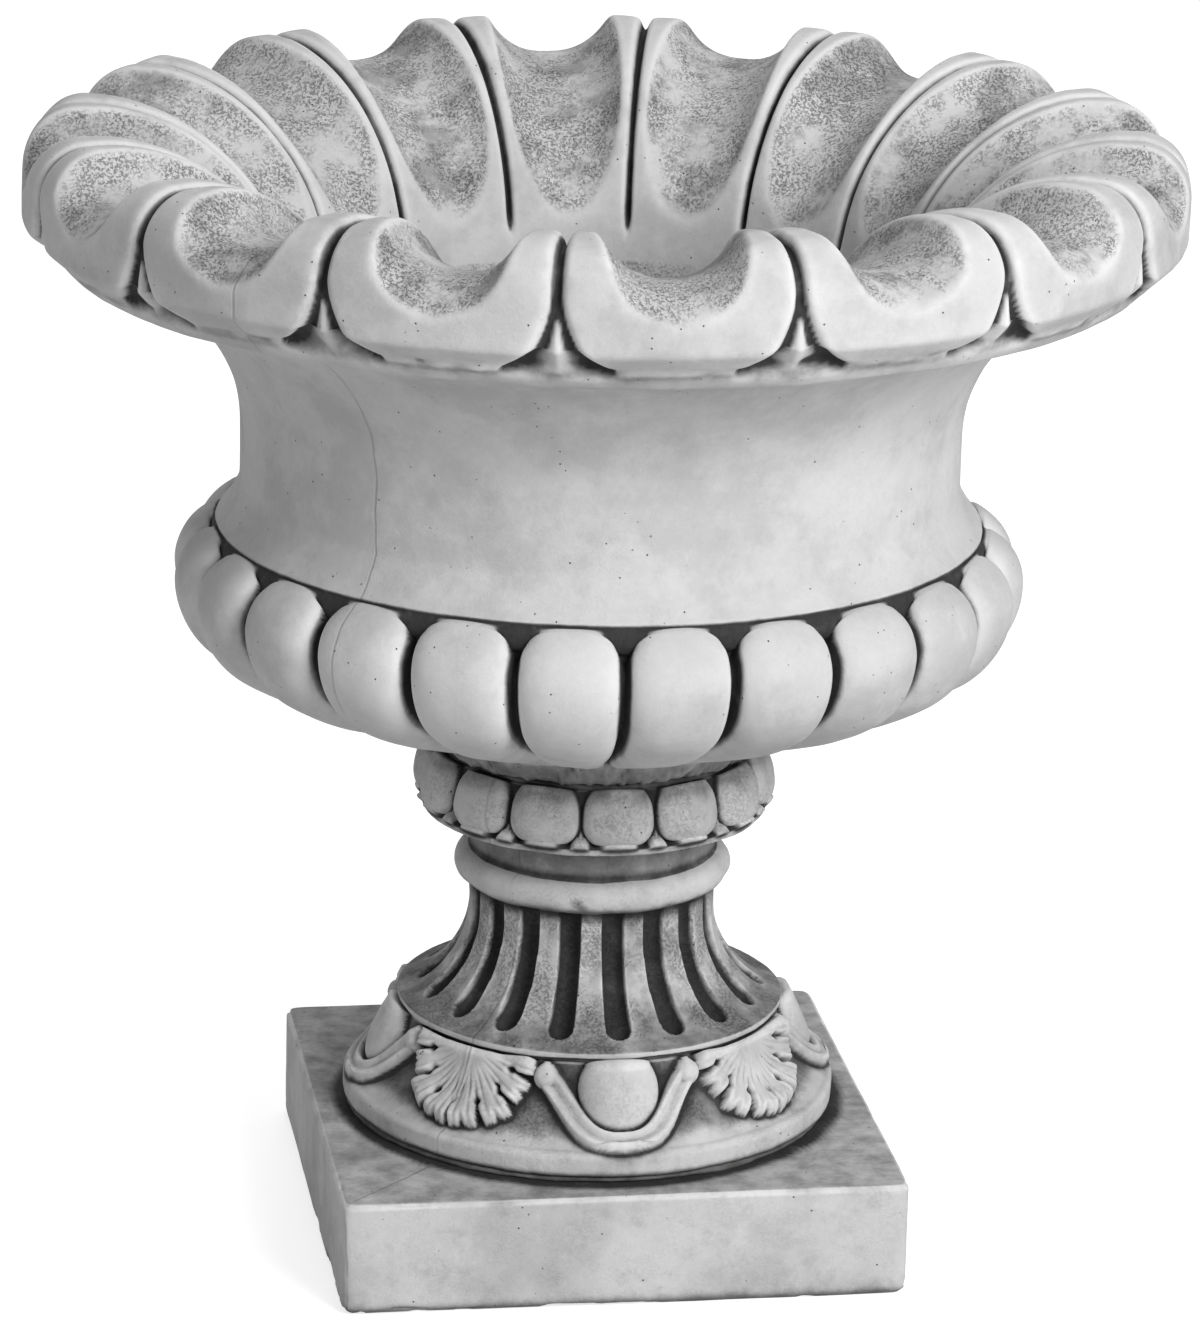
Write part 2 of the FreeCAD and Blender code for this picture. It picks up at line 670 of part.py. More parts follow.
def scoop():
    """The two bent bars that a petal's scoop is cut with: up the throat, and over the crest."""
    half, depth, crest = (float(cell(n)) for n in ("scoop_round", "scoop_depth", "crest_outer"))
    floor = float(cell("bowl_rise")) - depth
    section = turned(flat_face([
        (-half, floor + half, 0.5), (half, floor + half),
    ]), QUARTER)
    section.translate(Vector(crest, 0, 0))
    arms = []
    for name, sweep in (("scoop_bend", -QUARTER), ("scoop_spill", QUARTER)):
        middle = Vector(crest, 0, floor - float(cell(name)))
        arms.append(section.revolve(middle, Vector(0, 1, 0), sweep))
    return arms


def groove():
    """The blade that cuts the groove between two petals."""
    rise, deep, head = cell("bowl_rise"), cell("groove_depth"), cell("dart_high")
    face, start, air = cell("rim_radius"), cell("throat_radius"), cell("dart_depth")
    width = float(cell("groove_width"))
    blade = flat_face([
        (start - air, cell("groove_low")),
        (start + 1.6 * deep, cell("groove_low") + 2 * deep, -0.146),
        (cell("crest_inner"), rise - deep), (cell("crest_outer"), rise - deep, -0.12),
        (face - deep, head), (face + air, head), (face + air, rise + air),
        (start - air, rise + air),
    ])
    blade.translate(Vector(0, -width / 2, 0))
    return blade.extrude(Vector(0, width, 0))


def dart():
    """The cutter whose hollows leave a small ridged dart between two petals."""
    foot_radius, head_radius = cell("rim_edge_radius"), cell("rim_radius")
    width, depth, back = cell("dart_width"), cell("dart_depth"), cell("dart_set")
    slim, shallow = cell("groove_width") / 3, cell("groove_depth") - back
    wires = []
    for radius, half, deep, level in (
            (foot_radius, width, depth, cell("rim_edge_high") - back),
            (head_radius, slim, shallow, cell("dart_high") + back)):
        points = [
            (radius - back, 0), (radius - deep, half / 3), (radius, half),
            (radius + depth, half), (radius + depth, -half), (radius, -half),
            (radius - deep, -half / 3),
        ]
        corners = [Vector(float(x), float(y), float(level)) for x, y in points]
        wires.append(Part.makePolygon(corners + corners[:1]))
    return Part.makeLoft(wires, True, True)


# ---------------------------------------------------------------- beds and drain


def mortar_bed(label, low, radius):
    """The bed between two castings: a ring round the upper one's boss."""
    return ring(label, low, boss_hole, radius - cell("bed_inset"), bed)


def drain_tube():
    """The threaded pipe that clamps the castings and drains the bowl."""
    outer = cell("tube_radius")
    return ring("drain_tube", tube_low, outer - cell("tube_wall"), outer, grid_low - tube_low)


def drain_flange():
    """The round flange screwed on the pipe's top, with a rebate for the strainer."""
    body = new_body("drain_flange", flange_low)
    disc, rise = cell("flange_disc"), cell("flange_rise")
    rebate, depth = cell("grid_radius") + cell("grid_play"), cell("grid_rise")
    revolve(body, "disc", [
        (thread, 0), (disc, 0), (disc, rise), (rebate, rise), (rebate, rise - depth),
        (thread, rise - depth),
    ])
    return body


def drain_strainer():
    """The pierced plate that keeps soil out of the pipe."""
    body = new_body("drain_strainer", grid_low)
    radius, rise = cell("grid_radius"), cell("grid_rise")
    revolve(body, "plate", [(0, 0), (radius, 0), (radius, rise), (0, rise)])
    hole_sizes = {"Radius": cell("grid_hole"), "Height": rise}
    primitive(body, "middle_hole", "SubtractiveCylinder", "XY_Plane", hole_sizes)
    hole = primitive(body, "hole", "SubtractiveCylinder", "XY_Plane", hole_sizes,
                     move(cell("grid_ring")))
    repeat(body, "holes", [hole], cell("grid_holes"), False)
    return body


def plinth_locknut():
    """The hexagonal locknut that draws the stack together from under the plinth."""
    body = new_body("plinth_locknut", nut_low)
    flat = cell("nut_flats") / 2
    point = flat * (2 / math.sqrt(3))
    hexagon = [(point, 0), (point / 2, flat), (-point / 2, flat),
               (-point, 0), (-point / 2, -flat), (point / 2, -flat)]
    pad = body.newObject("PartDesign::Pad", "hexagon")
    pad.Profile = outline(body, "hexagon_outline", "XY_Plane", hexagon)
    pad.setExpression("Length", cell("nut_rise").text)
    finish(body, pad, True)
    primitive(body, "thread", "SubtractiveCylinder", "XY_Plane",
              {"Radius": thread, "Height": cell("nut_rise")})
    return body


pieces = [
    plinth(),
    mortar_bed("foot_bed", cell("plinth_rise"), cell("foot_radius")),
    foot(),
    mortar_bed("stem_bed", foot_low + cell("foot_rise"), cell("foot_top_radius")),
    stem(),
    mortar_bed("collar_bed", stem_low + cell("stem_rise"), cell("neck_radius")),
    collar(),
    mortar_bed("bowl_bed", collar_low + cell("collar_rise"), cell("collar_seat")),
    bowl(),
    drain_tube(),
    ring("drain_gasket", gasket_low, bore, cell("flange_disc"), cell("gasket_rise")),
    drain_flange(),
    drain_strainer(),
    ring("plinth_washer", washer_low, bore, cell("washer_radius"), cell("washer_rise")),
    plinth_locknut(),
]
doc.recompute()

faults = [f"{thing.Label}: {state}" for thing in doc.Objects for state in thing.State
          if state in ("Invalid", "Error")]
faults += [f"{piece.Label}: no valid single solid" for piece in pieces
           if piece.Shape.isNull() or not piece.Shape.isValid() or len(piece.Shape.Solids) != 1]
if faults:
    sys.exit("\n".join(faults))

os.makedirs("parts", exist_ok=True)
for piece in pieces:
    piece.Shape.exportStep(f"parts/{piece.Label}.step")
    box = piece.Shape.optimalBoundingBox(False)
    span = f"z {box.ZMin:.1f} to {box.ZMax:.1f}"
    print(f"{piece.Label:16s} {piece.Shape.Volume / 1e6:8.3f} litres, {span}")
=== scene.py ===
"""The looks of a cast-stone urn planter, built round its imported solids.

Each casting is turned from one closed outline in radius and height. Its carving is a relief that
is added along the outline's normal, so it is real geometry. Lengths in the outlines and reliefs
are millimetres, and the meshes are metres. Angles are counted about +Z from +X.
"""

import math

import bpy
import numpy as np
from mathutils import Matrix, Vector


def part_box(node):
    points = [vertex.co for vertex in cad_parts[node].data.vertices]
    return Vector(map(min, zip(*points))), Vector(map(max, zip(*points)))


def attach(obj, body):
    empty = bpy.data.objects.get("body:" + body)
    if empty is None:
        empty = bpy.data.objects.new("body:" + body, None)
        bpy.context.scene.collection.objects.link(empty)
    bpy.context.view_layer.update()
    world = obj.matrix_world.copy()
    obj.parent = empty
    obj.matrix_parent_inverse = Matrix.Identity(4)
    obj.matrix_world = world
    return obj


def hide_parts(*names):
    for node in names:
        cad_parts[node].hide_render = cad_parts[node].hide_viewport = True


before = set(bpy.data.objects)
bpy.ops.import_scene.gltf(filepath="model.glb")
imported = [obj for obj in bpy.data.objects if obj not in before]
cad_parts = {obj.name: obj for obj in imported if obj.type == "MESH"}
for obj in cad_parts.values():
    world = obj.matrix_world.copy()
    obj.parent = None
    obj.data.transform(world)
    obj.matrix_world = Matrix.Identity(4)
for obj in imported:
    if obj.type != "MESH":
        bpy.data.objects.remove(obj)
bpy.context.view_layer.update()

MM = 0.001
TURN = 2 * math.pi
BODY = "root"


def high_of(node):
    """The greatest height of a CAD node, in millimetres."""
    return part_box(node)[1].z / MM


# The joints inside the stack: each casting's boss sits in the recess of the one below it.
BORE = 18.5
BOSS = 38.0
BOSS_HOLE = 39.5
BOSS_RISE = 8.0
RECESS = 6.5

# Levels of the stack, read from the frame.
PLINTH_HIGH = high_of("plinth")
FOOT_LOW = high_of("foot_bed")
FOOT_HIGH = high_of("foot")
STEM_LOW = high_of("stem_bed")
STEM_HIGH = high_of("stem")
COLLAR_LOW = high_of("collar_bed")
COLLAR_HIGH = high_of("collar")
BOWL_LOW = high_of("bowl_bed")
BOWL_HIGH = high_of("bowl")


# ---------------------------------------------------------------- numbers on a grid


def smooth(low, high, x):
    """0 below low, 1 above high, and a smooth step between."""
    t = np.clip((x - low) / (high - low), 0.0, 1.0)
    return t * t * (3 - 2 * t)


def soft_plus(x, width):
    """The larger of x and 0, with the corner rounded over a width."""
    return 0.5 * (x + np.sqrt(x * x + width * width))


def bump(x, width):
    """A round hill of height 1 about 0."""
    return np.exp(-((x / width) ** 2))


def blur(field, rows, cols):
    """A field blurred round both ways of its closed grid, by so many cells."""
    v = np.fft.fftfreq(field.shape[0])[:, None]
    u = np.fft.rfftfreq(field.shape[1])[None, :]
    weight = np.exp(-2 * (math.pi ** 2) * ((v * rows) ** 2 + (u * cols) ** 2))
    return np.fft.irfft2(np.fft.rfft2(field) * weight, s=field.shape)


def noise(shape, rows, cols, seed):
    """Seeded smooth noise of about -1 to 1 on a closed grid."""
    field = blur(np.random.default_rng(seed).standard_normal(shape), rows, cols)
    return field / (2.2 * field.std())


def away(theta, count, phase):
    """The angle from the nearest of count evenly spaced directions, in radians."""
    pitch = TURN / count
    return (theta - math.radians(phase) + pitch / 2) % pitch - pitch / 2


# ---------------------------------------------------------------- turned pieces


# An arc is longer than its chord by about this times the square of its bulge.
ARC_LONGER = 2.6


class Line:
    """A closed outline, sampled. Its points are (radius, height, bulge, step, zone), where the
    bulge is the sag of the stretch to the next point as a share of its chord, and the step is
    how far apart that stretch is sampled. Its corners are rounded over so many samples."""

    def __init__(self, points, rounding):
        r, z, zone, self.zones = [], [], [], {}
        for n, (r0, z0, bulge, step, name) in enumerate(points):
            r1, z1 = points[(n + 1) % len(points)][:2]
            chord = math.hypot(r1 - r0, z1 - z0)
            longer = 1 + ARC_LONGER * bulge * bulge
            count = max(1, round(chord * longer / step))
            t = np.arange(count) / count
            if bulge:
                half = 2 * math.atan(2 * abs(bulge))
                radius = chord / (2 * math.sin(half))
                turn = -half + 2 * half * t
                along = 0.5 + radius * np.sin(turn) / chord
                out = math.copysign(1, bulge) * radius * (np.cos(turn) - math.cos(half)) / chord
            else:
                along, out = t, t * 0
            r.append(r0 + (r1 - r0) * along + (z1 - z0) * out)
            z.append(z0 + (z1 - z0) * along - (r1 - r0) * out)
            number = self.zones.setdefault(name, len(self.zones))
            zone.append(np.full(count, number))
        self.r, self.z, self.zone = (np.concatenate(x) for x in (r, z, zone))
        self.r, self.z = (blur(x[:, None].repeat(2, 1), rounding, 0)[:, 0]
                          for x in (self.r, self.z))
        dr = np.roll(self.r, -1) - np.roll(self.r, 1)
        dz = np.roll(self.z, -1) - np.roll(self.z, 1)
        size = np.hypot(dr, dz)
        self.out_r, self.out_z = dz / size, -dr / size
        step = np.hypot(np.diff(self.r), np.diff(self.z))
        self.s = np.concatenate([[0], np.cumsum(step)])

    def within(self, *names):
        """A column that is 1 in those zones and 0 elsewhere."""
        numbers = [self.zones[name] for name in names]
        return np.isin(self.zone, numbers)[:, None].astype(float)

    def start(self, name):
        """The distance along the outline where a zone starts."""
        return self.s[np.argmax(self.zone == self.zones[name])]

    def end(self, name):
        """The distance along the outline where a zone ends."""
        return self.s[len(self.zone) - 1 - np.argmax(self.zone[::-1] == self.zones[name])]


def grid_object(name, places, masks, material, nodes):
    """A closed mesh from a grid of places that joins up both ways, riding on the body."""
    rows, cols = places.shape[:2]
    index = np.arange(rows * cols).reshape(rows, cols)
    right, up = np.roll(index, -1, 1), np.roll(index, -1, 0)
    corner = np.roll(right, -1, 0)
    quads = np.stack([index, right, corner, up], -1).reshape(-1, 4)
    mesh = bpy.data.meshes.new(name)
    mesh.vertices.add(rows * cols)
    mesh.vertices.foreach_set("co", (places * MM).astype(np.float32).ravel())
    mesh.loops.add(quads.size)
    mesh.loops.foreach_set("vertex_index", quads.astype(np.int32).ravel())
    mesh.polygons.add(len(quads))
    mesh.polygons.foreach_set("loop_start", np.arange(0, quads.size, 4, dtype=np.int32))
    mesh.update(calc_edges=True)
    mesh.shade_smooth()
    for label, mask in masks.items():
        layer = mesh.attributes.new(label, "FLOAT", "POINT")
        layer.data.foreach_set("value", np.clip(mask, 0, 1).astype(np.float32).ravel())
    mesh.materials.append(material)
    piece = bpy.data.objects.new(name, mesh)
    bpy.context.scene.collection.objects.link(piece)
    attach(piece, BODY)
    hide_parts(*nodes)
    return piece


# How many cells about a place count as near and far, where its grime and painted shade are worked
# out.
NEAR = 2.5
FAR = 9.0


def hollow(height, cells):
    """How deep each place lies under its surroundings, so many cells about, in millimetres."""
    return blur(height, cells, cells) - height


def turned(node, kind, line, cols, relief, material, seed):
    """The piece that replaces a CAD node: an outline turned about the axis, with a relief along
    its normal. relief(line, theta) gives the heights, and the masks of stain with painted shade, and
    of pits."""
    theta = (np.arange(cols) * TURN / cols)[None, :]
    height, grime_and_shade, pits = relief(line, theta)
    shape = (len(line.r), cols)
    height = np.broadcast_to(height, shape).astype(float)
    close, wide = hollow(height, NEAR), hollow(height, FAR)
    # Hollows are darkened by their depth: partly grime, partly painted shade where light would be
    # blocked.
    grime_and_shade = grime_and_shade + 0.55 * soft_plus(close - 0.15, 0.1) + 0.16 * soft_plus(wide - 0.4, 0.3)
    # Ridges are made paler: partly wear, partly a painted highlight.
    wear_and_highlight = np.clip(-close * 0.9, 0, 1)
    waver = noise(shape, 14, 14, seed) * 0.5 + noise(shape, 3.5, 3.5, seed + 1) * 0.12
    inside = (line.r < BOSS_HOLE + 4)[:, None]
    height = height + np.where(inside, 0, waver)
    r = line.r[:, None] + line.out_r[:, None] * height
    z = line.z[:, None] + line.out_z[:, None] * height
    places = np.stack([r * np.cos(theta), r * np.sin(theta), z], -1)
    masks = {"grime_and_shade": grime_and_shade, "pits": pits + np.zeros(shape), "wear_and_highlight": wear_and_highlight}
    return grid_object(f"{node}_{kind}", places, masks, material, [node])


def boss_start(low):
    """The start of a casting's outline: the bore and the boss under its seat."""
    return [(BORE, low - BOSS_RISE, 0, 5, "bore"), (BOSS, low - BOSS_RISE, 0, 4, "bore")]


def recess_end(high):
    """The end of a casting's outline: the recess in its top, and the bore."""
    return [(BOSS_HOLE, high, 0, 4, "bore"), (BOSS_HOLE, high - RECESS, 0, 5, "bore"),
            (BORE, high - RECESS, 0, 8, "bore")]


# ---------------------------------------------------------------- bowl

BOWL_SEAT = 84.0
WAIST_RADIUS = 189.8
RIM_RADIUS = 303.0
CREST_RADIUS = 276.0
BASIN_RADIUS = 163.0
DRAIN_SEAT = 42.0
DRAIN_LEVEL = 290.0
LIP_LEVEL = 388.5
LOBES = 24
LOBE_PHASE = -87.4
PETALS = 16
PETAL_PHASE = -91.8
LOBE_DEPTH = 18.0
LOBE_ROUND = 2.9
LOBE_DOME = 22.0
LOBE_LONG = 105.0
# The floor of a scoop follows a circle across the petal, and two circles along it, one inside
# the crest and one outside, each as (centre's radius, centre's height, size).
SCOOP_ROUND = 38.0
SCOOP_IN = (CREST_RADIUS, 459.0, 123.0)
SCOOP_OUT = (CREST_RADIUS, 552.0, 30.0)
SCOOP_DEEPEST = 24.0
GROOVE_HALF = 1.7
GROOVE_DEPTH = 9.0
DART_RISE = 47.0
DART_HALF = 25.0
DART_DEPTH = 9.0
# The heights in the throat between which the grooves fade in.
GROOVE_FADE = (500.0, 516.0)
SMEAR_START = 82.0
SMEAR_END = 100.0


def bowl_line():
    """The bowl's outline: seat, crest of the lobes, wall, rim, throat, floor and drain seat."""
    return Line(boss_start(BOWL_LOW) + [
        (BOSS, BOWL_LOW, 0, 4, "seat"), (BOWL_SEAT, BOWL_LOW, 0, 1.5, "seat"),
        (92, BOWL_LOW + 12, 0, 1.5, "belly"), (172, 304.4, 0.029, 1.4, "belly"),
        (204.8, 320.8, 0.12, 1.3, "belly"), (225, 360, 0.128, 1.2, "dome"),
        (210, 385, 0.10, 0.9, "dome"), (203.4, 387, 0, 0.8, "crease"),
        (201.8, 386, 0, 0.8, "lip"), (202.6, LIP_LEVEL, 0, 0.8, "lip"),
        (200.4, 390.5, -0.05, 1.4, "wall"), (WAIST_RADIUS, 410, 0, 2.5, "wall"),
        (WAIST_RADIUS, 439, -0.207, 2.4, "wall"), (280, 529.5, 0, 1.6, "under"),
        (291.5, 540.6, 0, 1.5, "edge"), (RIM_RADIUS, 551, 0, 1.5, "edge"),
        (RIM_RADIUS, 573, 0.2, 1.4, "roll"), (CREST_RADIUS, BOWL_HIGH, 0, 1.5, "crest"),
        (262, BOWL_HIGH, 0.2, 1.6, "inner"), (BASIN_RADIUS, 487, 0, 2.5, "throat"),
        (BASIN_RADIUS, 415, -0.2, 5, "floor"), (122, 302, 0, 6, "floor"),
        (DRAIN_SEAT, 299, 0, 4, "floor"), (DRAIN_SEAT, DRAIN_LEVEL, 0, 5, "drain"),
        (BORE, DRAIN_LEVEL, 0, 5, "drain"),
    ], rounding=1.0)


def scoop_depth(line, circle):
    """How far the outline lies over a scoop's round floor, along the outline's normal."""
    r, z, radius = circle
    from_r, from_z = line.r - r, line.z - z
    along = from_r * line.out_r + from_z * line.out_z
    inside = along ** 2 - from_r ** 2 - from_z ** 2 + radius ** 2
    return np.where(inside > 0, along - np.sqrt(np.maximum(inside, 0)), 0)


def lobe_relief(line, theta):
    """How deep the belly is carved between its pillow-like lobes, and the stain with painted shade in
    the valleys between them.
    """
    r, s = line.r[:, None], line.s[:, None]
    across = np.abs(away(theta, LOBES, LOBE_PHASE)) * r
    start, top = line.start("belly"), line.end("dome")
    end = np.clip((s - (top - LOBE_DOME)) / (LOBE_DOME + 2.5), 0, 1)
    half = (math.pi / LOBES * r - 1.3) * (1 - end ** 3.2) ** (1 / 3.2) + 0.01
    body = np.maximum(0, 1 - (across / half) ** LOBE_ROUND) ** (1 / LOBE_ROUND)
    depth = LOBE_DEPTH * np.clip((s - start) / LOBE_LONG, 0, 1) ** 0.55
    lobed = line.within("belly", "dome")
    near_lip = 1 - 0.35 * smooth(-9, 1, s - top)
    # Grime with painted shade in the valleys between the lobes.
    gap = lobed * smooth(2, 40, s - start) * (1 - smooth(0.18, 0.62, body))
    return lobed * depth * near_lip * (1 - body), gap


def petal_scoop(line, across):
    """How deep a petal is scooped out, so far across from its middle."""
    inner = (line.r < CREST_RADIUS) & (line.zone != line.zones["under"])
    depth = np.where(inner, scoop_depth(line, SCOOP_IN), scoop_depth(line, SCOOP_OUT))
    depth = np.clip(depth, 0, SCOOP_DEEPEST)[:, None]
    depth = depth * line.within("edge", "roll", "crest", "inner")
    round_off = SCOOP_ROUND - np.sqrt(np.maximum(SCOOP_ROUND ** 2 - across ** 2, 0))
    edge = 1.3 * np.clip(depth / 6, 0, 1) + 0.01
    scoop = soft_plus(1.12 * depth - round_off, edge) - edge * edge / (2 * (round_off + edge))
    return np.where(depth > 0, np.clip(scoop, 0, None), 0)


def dart_corner(line, rise):
    """How far the groove between two petals widens towards the rim's lower edge."""
    low = np.clip((DART_RISE - rise) / DART_RISE, 0, 1)
    corner = DART_HALF * (0.65 * low ** 2 + 0.35 * (1 - np.sqrt(1 - low ** 2)))
    return corner * line.within("under", "edge", "roll")


def rim_relief(line, theta):
    """How deep the rim is carved into petals, the share of stain and painted shade in the grooves
    between them, and the share of their scooped floors."""
    r, z, s = (x[:, None] for x in (line.r, line.z, line.s))
    petal = away(theta, PETALS, PETAL_PHASE)
    beside = (math.pi / PETALS - np.abs(petal)) * r
    scoop = petal_scoop(line, petal * r)

    rise = s - line.start("edge")
    corner = dart_corner(line, rise)
    dart = GROOVE_HALF * (0.6 + 0.4 * smooth(170, 250, r)) + corner
    outside = beside - dart
    slope = 1 / np.sqrt(1 + np.gradient(corner[:, 0], line.s)[:, None] ** 2)
    blend = 1.2 + 0.5 * smooth(0.5, 4, corner)
    on_petal = smooth(-1, 1, outside * slope / blend)

    low_rim = line.within("under", "edge", "roll")
    ridge = 1.0 + (GROOVE_DEPTH - 1.0) * smooth(DART_RISE - 16, DART_RISE - 3, rise)
    ridge = np.where(low_rim > 0, ridge, GROOVE_DEPTH)
    share = np.clip(beside / dart, 0, 1)
    roof = ridge + (DART_DEPTH - ridge) * share ** 0.75

    fade = smooth(-7, 1, rise)
    fade = np.where(line.within("inner") > 0, smooth(*GROOVE_FADE, z), fade)
    fade = fade * line.within("under", "edge", "roll", "crest", "inner")
    rounding = 2.0 * np.exp(-np.maximum(outside, 0) / 2.6)
    carved = fade * ((1 - on_petal) * roof + on_petal * (rounding + scoop))
    # Grime with painted shade in the grooves, and round the edges of the darts between petals.
    sunk = np.where(corner > 2.0, 0.95 * smooth(0.72, 1.0, share) + 0.08, 1.0)
    return carved, fade * (1 - on_petal) * sunk, smooth(0.3, 3, scoop) * fade


def bowl_relief(line, theta):
    """The carved belly and rim, the ragged flash under the rim and the smear on the seat."""
    r, z, s = (x[:, None] for x in (line.r, line.z, line.s))
    lobes, gap = lobe_relief(line, theta)
    petals, sunk, floor = rim_relief(line, theta)
    height = -lobes - petals

    ragged = noise(height.shape, 1.2, 2.5, 11) + noise(height.shape, 1.5, 9, 12)
    height = height + bump(s - line.start("edge"), 2.6) * 1.3 * ragged
    smear = line.within("seat", "belly") * (1 - smooth(SMEAR_END - 12, SMEAR_END + 6, r)) * 0.5
    lumps = noise(height.shape, 3, 5, 13) + 0.6 * noise(height.shape, 1.4, 2.2, 14)
    height = height + smooth(BOSS_HOLE, SMEAR_START, r) * smear * 2.4 * lumps

    # The rim's underside and a band under its edge get painted shade; the throat and floor inside the
    # bowl are darker; the crease under the lip gets a painted shadow, with grime; the scooped floors
    # get less of it all.
    below = line.within("under") * 0.12 + bump(s - line.start("edge") + 4, 3) * 0.3
    throat = line.within("throat") * 0.2 + line.within("floor") * 0.35
    crease = line.within("crease", "lip") * 1.1 * (z < LIP_LEVEL - 0.5)
    grime_and_shade = 1.5 * gap + 0.85 * sunk + below + throat + crease + smear - 0.28 * floor
    pits = 0.95 * floor + line.within("throat") * 0.6 + line.within("floor") + 0.05
    return blur(height, 1.0, 1.0), blur(grime_and_shade, 0.9, 0.9), pits


# ---------------------------------------------------------------- collar

BUDS = 14
BUD_PHASE = -90.0
BUD_REACH = 11.0
BUD_MIDDLE = 0.45
RING_RADIUS = 91.8
RING_HIGH = 4.0


def collar_line():
    """The collar's outline: a thin ring under a rounded band."""
    low, high = COLLAR_LOW, COLLAR_HIGH
    return Line(boss_start(low) + [
        (BOSS, low, 0, 4, "seat"), (RING_RADIUS, low, 0, 0.7, "ring"),
        (RING_RADIUS + 0.4, low + RING_HIGH, 0, 0.6, "step"),
        (86.5, low + RING_HIGH + 1.2, 0.05, 0.6, "band"), (81.5, high - 0.5, 0, 0.8, "top"),
        (80, high, 0, 3, "top"),
    ] + recess_end(high), rounding=0.8)


def collar_relief(line, theta):
    """Round buds, with a small dart between each two over the ring."""
    r, z = line.r[:, None], line.z[:, None]
    across = np.abs(away(theta, BUDS, BUD_PHASE)) * r
    half = math.pi / BUDS * r
    up = (z - COLLAR_LOW - RING_HIGH) / (COLLAR_HIGH - COLLAR_LOW - RING_HIGH)
    band = line.within("step", "band")
    lean = (across / (half * 0.985)) ** 2.2
    under, over = np.maximum(0, BUD_MIDDLE - up) / 0.50, np.maximum(0, up - BUD_MIDDLE) / 0.70
    tall = under ** 2.4 + over ** 3
    bud = np.maximum(0, 1 - lean - tall) ** 0.5
    beside = half - across
    dart = np.clip((6.5 * (1 - np.clip(up, 0, 1) * 2.3) - beside) * 1.1, 0, 4.5)
    dart = dart * smooth(-0.1, 0.02, up) * (1 - smooth(0.25, 0.42, up))
    height = band * np.maximum(BUD_REACH * bud, dart)
    # Grime with painted shade between the buds and on the seat; the band darkens towards its top,
    # painted shade under the bowl's belly.
    grime_and_shade = band * (1 - smooth(0.05, 0.42, bud)) * (0.95 - 0.8 * smooth(0.8, 2.5, dart))
    grime_and_shade = grime_and_shade * (1 - 0.6 * smooth(0.75, 1.0, up)) + line.within("seat") * 0.5
    grime_and_shade = grime_and_shade + 0.12 + 0.32 * smooth(0.6, 0.95, up) * line.within("band", "top")
    return height, grime_and_shade, 0.3 + 0 * height


# ---------------------------------------------------------------- stem

FLUTES = 18
FLUTE_PHASE = -88.5
FLUTE_DEPTH = 7.5
FLUTE_HALF = 6.1
FLUTE_END = 94.0
FLANGE_RADIUS = 103.8
FLANGE_HIGH = 4.0
STEM_RADIUS = 66.0
NECK_RADIUS = 65.5
RING_START = 68.5
RING_END = 86.0
# The scuff on the ring, as its direction in degrees and its height.
SCUFF = (-104.2, 196.0)


def stem_line():
    """The stem's outline: flange, hollow flare, ring and neck."""
    low, high = STEM_LOW, STEM_HIGH
    return Line(boss_start(low) + [
        (BOSS, low, 0, 4, "seat"), (FLANGE_RADIUS, low, 0, 0.8, "flange"),
        (FLANGE_RADIUS, low + FLANGE_HIGH, 0, 0.8, "top"), (95, low + 7, -0.137, 0.8, "flare"),
        (STEM_RADIUS, low + 56, 0, 0.8, "waist"),
        (STEM_RADIUS, low + RING_START, 0.45, 0.7, "ring"),
        (NECK_RADIUS + 1, low + RING_END, 0, 0.8, "neck"),
        (NECK_RADIUS, low + RING_END + 1, 0, 1.2, "neck"), (NECK_RADIUS, high, 0, 3, "top_face"),
    ] + recess_end(high), rounding=0.9)


def stem_relief(line, theta):
    """Flutes with round lower ends that run up under the ring."""
    r, z = line.r[:, None], line.z[:, None]
    across = away(theta, FLUTES, FLUTE_PHASE) * r
    widen = FLUTE_HALF * (1 + 0.13 * smooth(66, 90, r))
    past = np.maximum(0, r - (FLUTE_END - FLUTE_HALF)) * (z < STEM_LOW + 40)
    reach = np.hypot(across, past * 1.15) / widen
    dip = np.sqrt(np.maximum(0, 1 - reach ** 2.4))
    fluted = line.within("top", "flare", "waist")
    above = z - STEM_LOW
    dip = dip * fluted * (1 - smooth(RING_START - 2, RING_START + 0.5, above))
    height = -FLUTE_DEPTH * dip * smooth(0.0, 0.15, dip)
    # Grime with painted shade in the flutes; painted shade under the ring and on the neck; the
    # flange's top is darker with soot; the scuff is a real mark.
    under = bump(above - RING_START + 0.5, 4.5) * line.within("waist", "ring")
    neck = line.within("neck") * 0.5
    low = fluted * (0.26 + 0.24 * (1 - smooth(6, 22, above)))
    grime_and_shade = 1.1 * smooth(0.2, 0.7, dip) + 0.75 * under + neck + low
    grime_and_shade = grime_and_shade + bump(above - RING_END - 1.5, 2.5) * line.within("neck") * 0.4
    way, level = SCUFF
    aside = away(theta, 1, way) * r
    mark = bump(aside + 0.5 * (z - level), 3.5) * bump(z - level, 4.5)
    grime_and_shade = grime_and_shade + mark * line.within("ring") * 0.42
    return height, grime_and_shade, 0.5 * fluted + 0.15 + mark


# ---------------------------------------------------------------- foot

MOTIFS = 4
EGG_PHASE = -90.0
MOTIF_RADIUS = 116.0
EGG_HALF = 23.5
EGG_BELOW = 25.0
EGG_ABOVE = 22.0
EGG_DROP = 11.0
EGG_DEPTH = 11.5
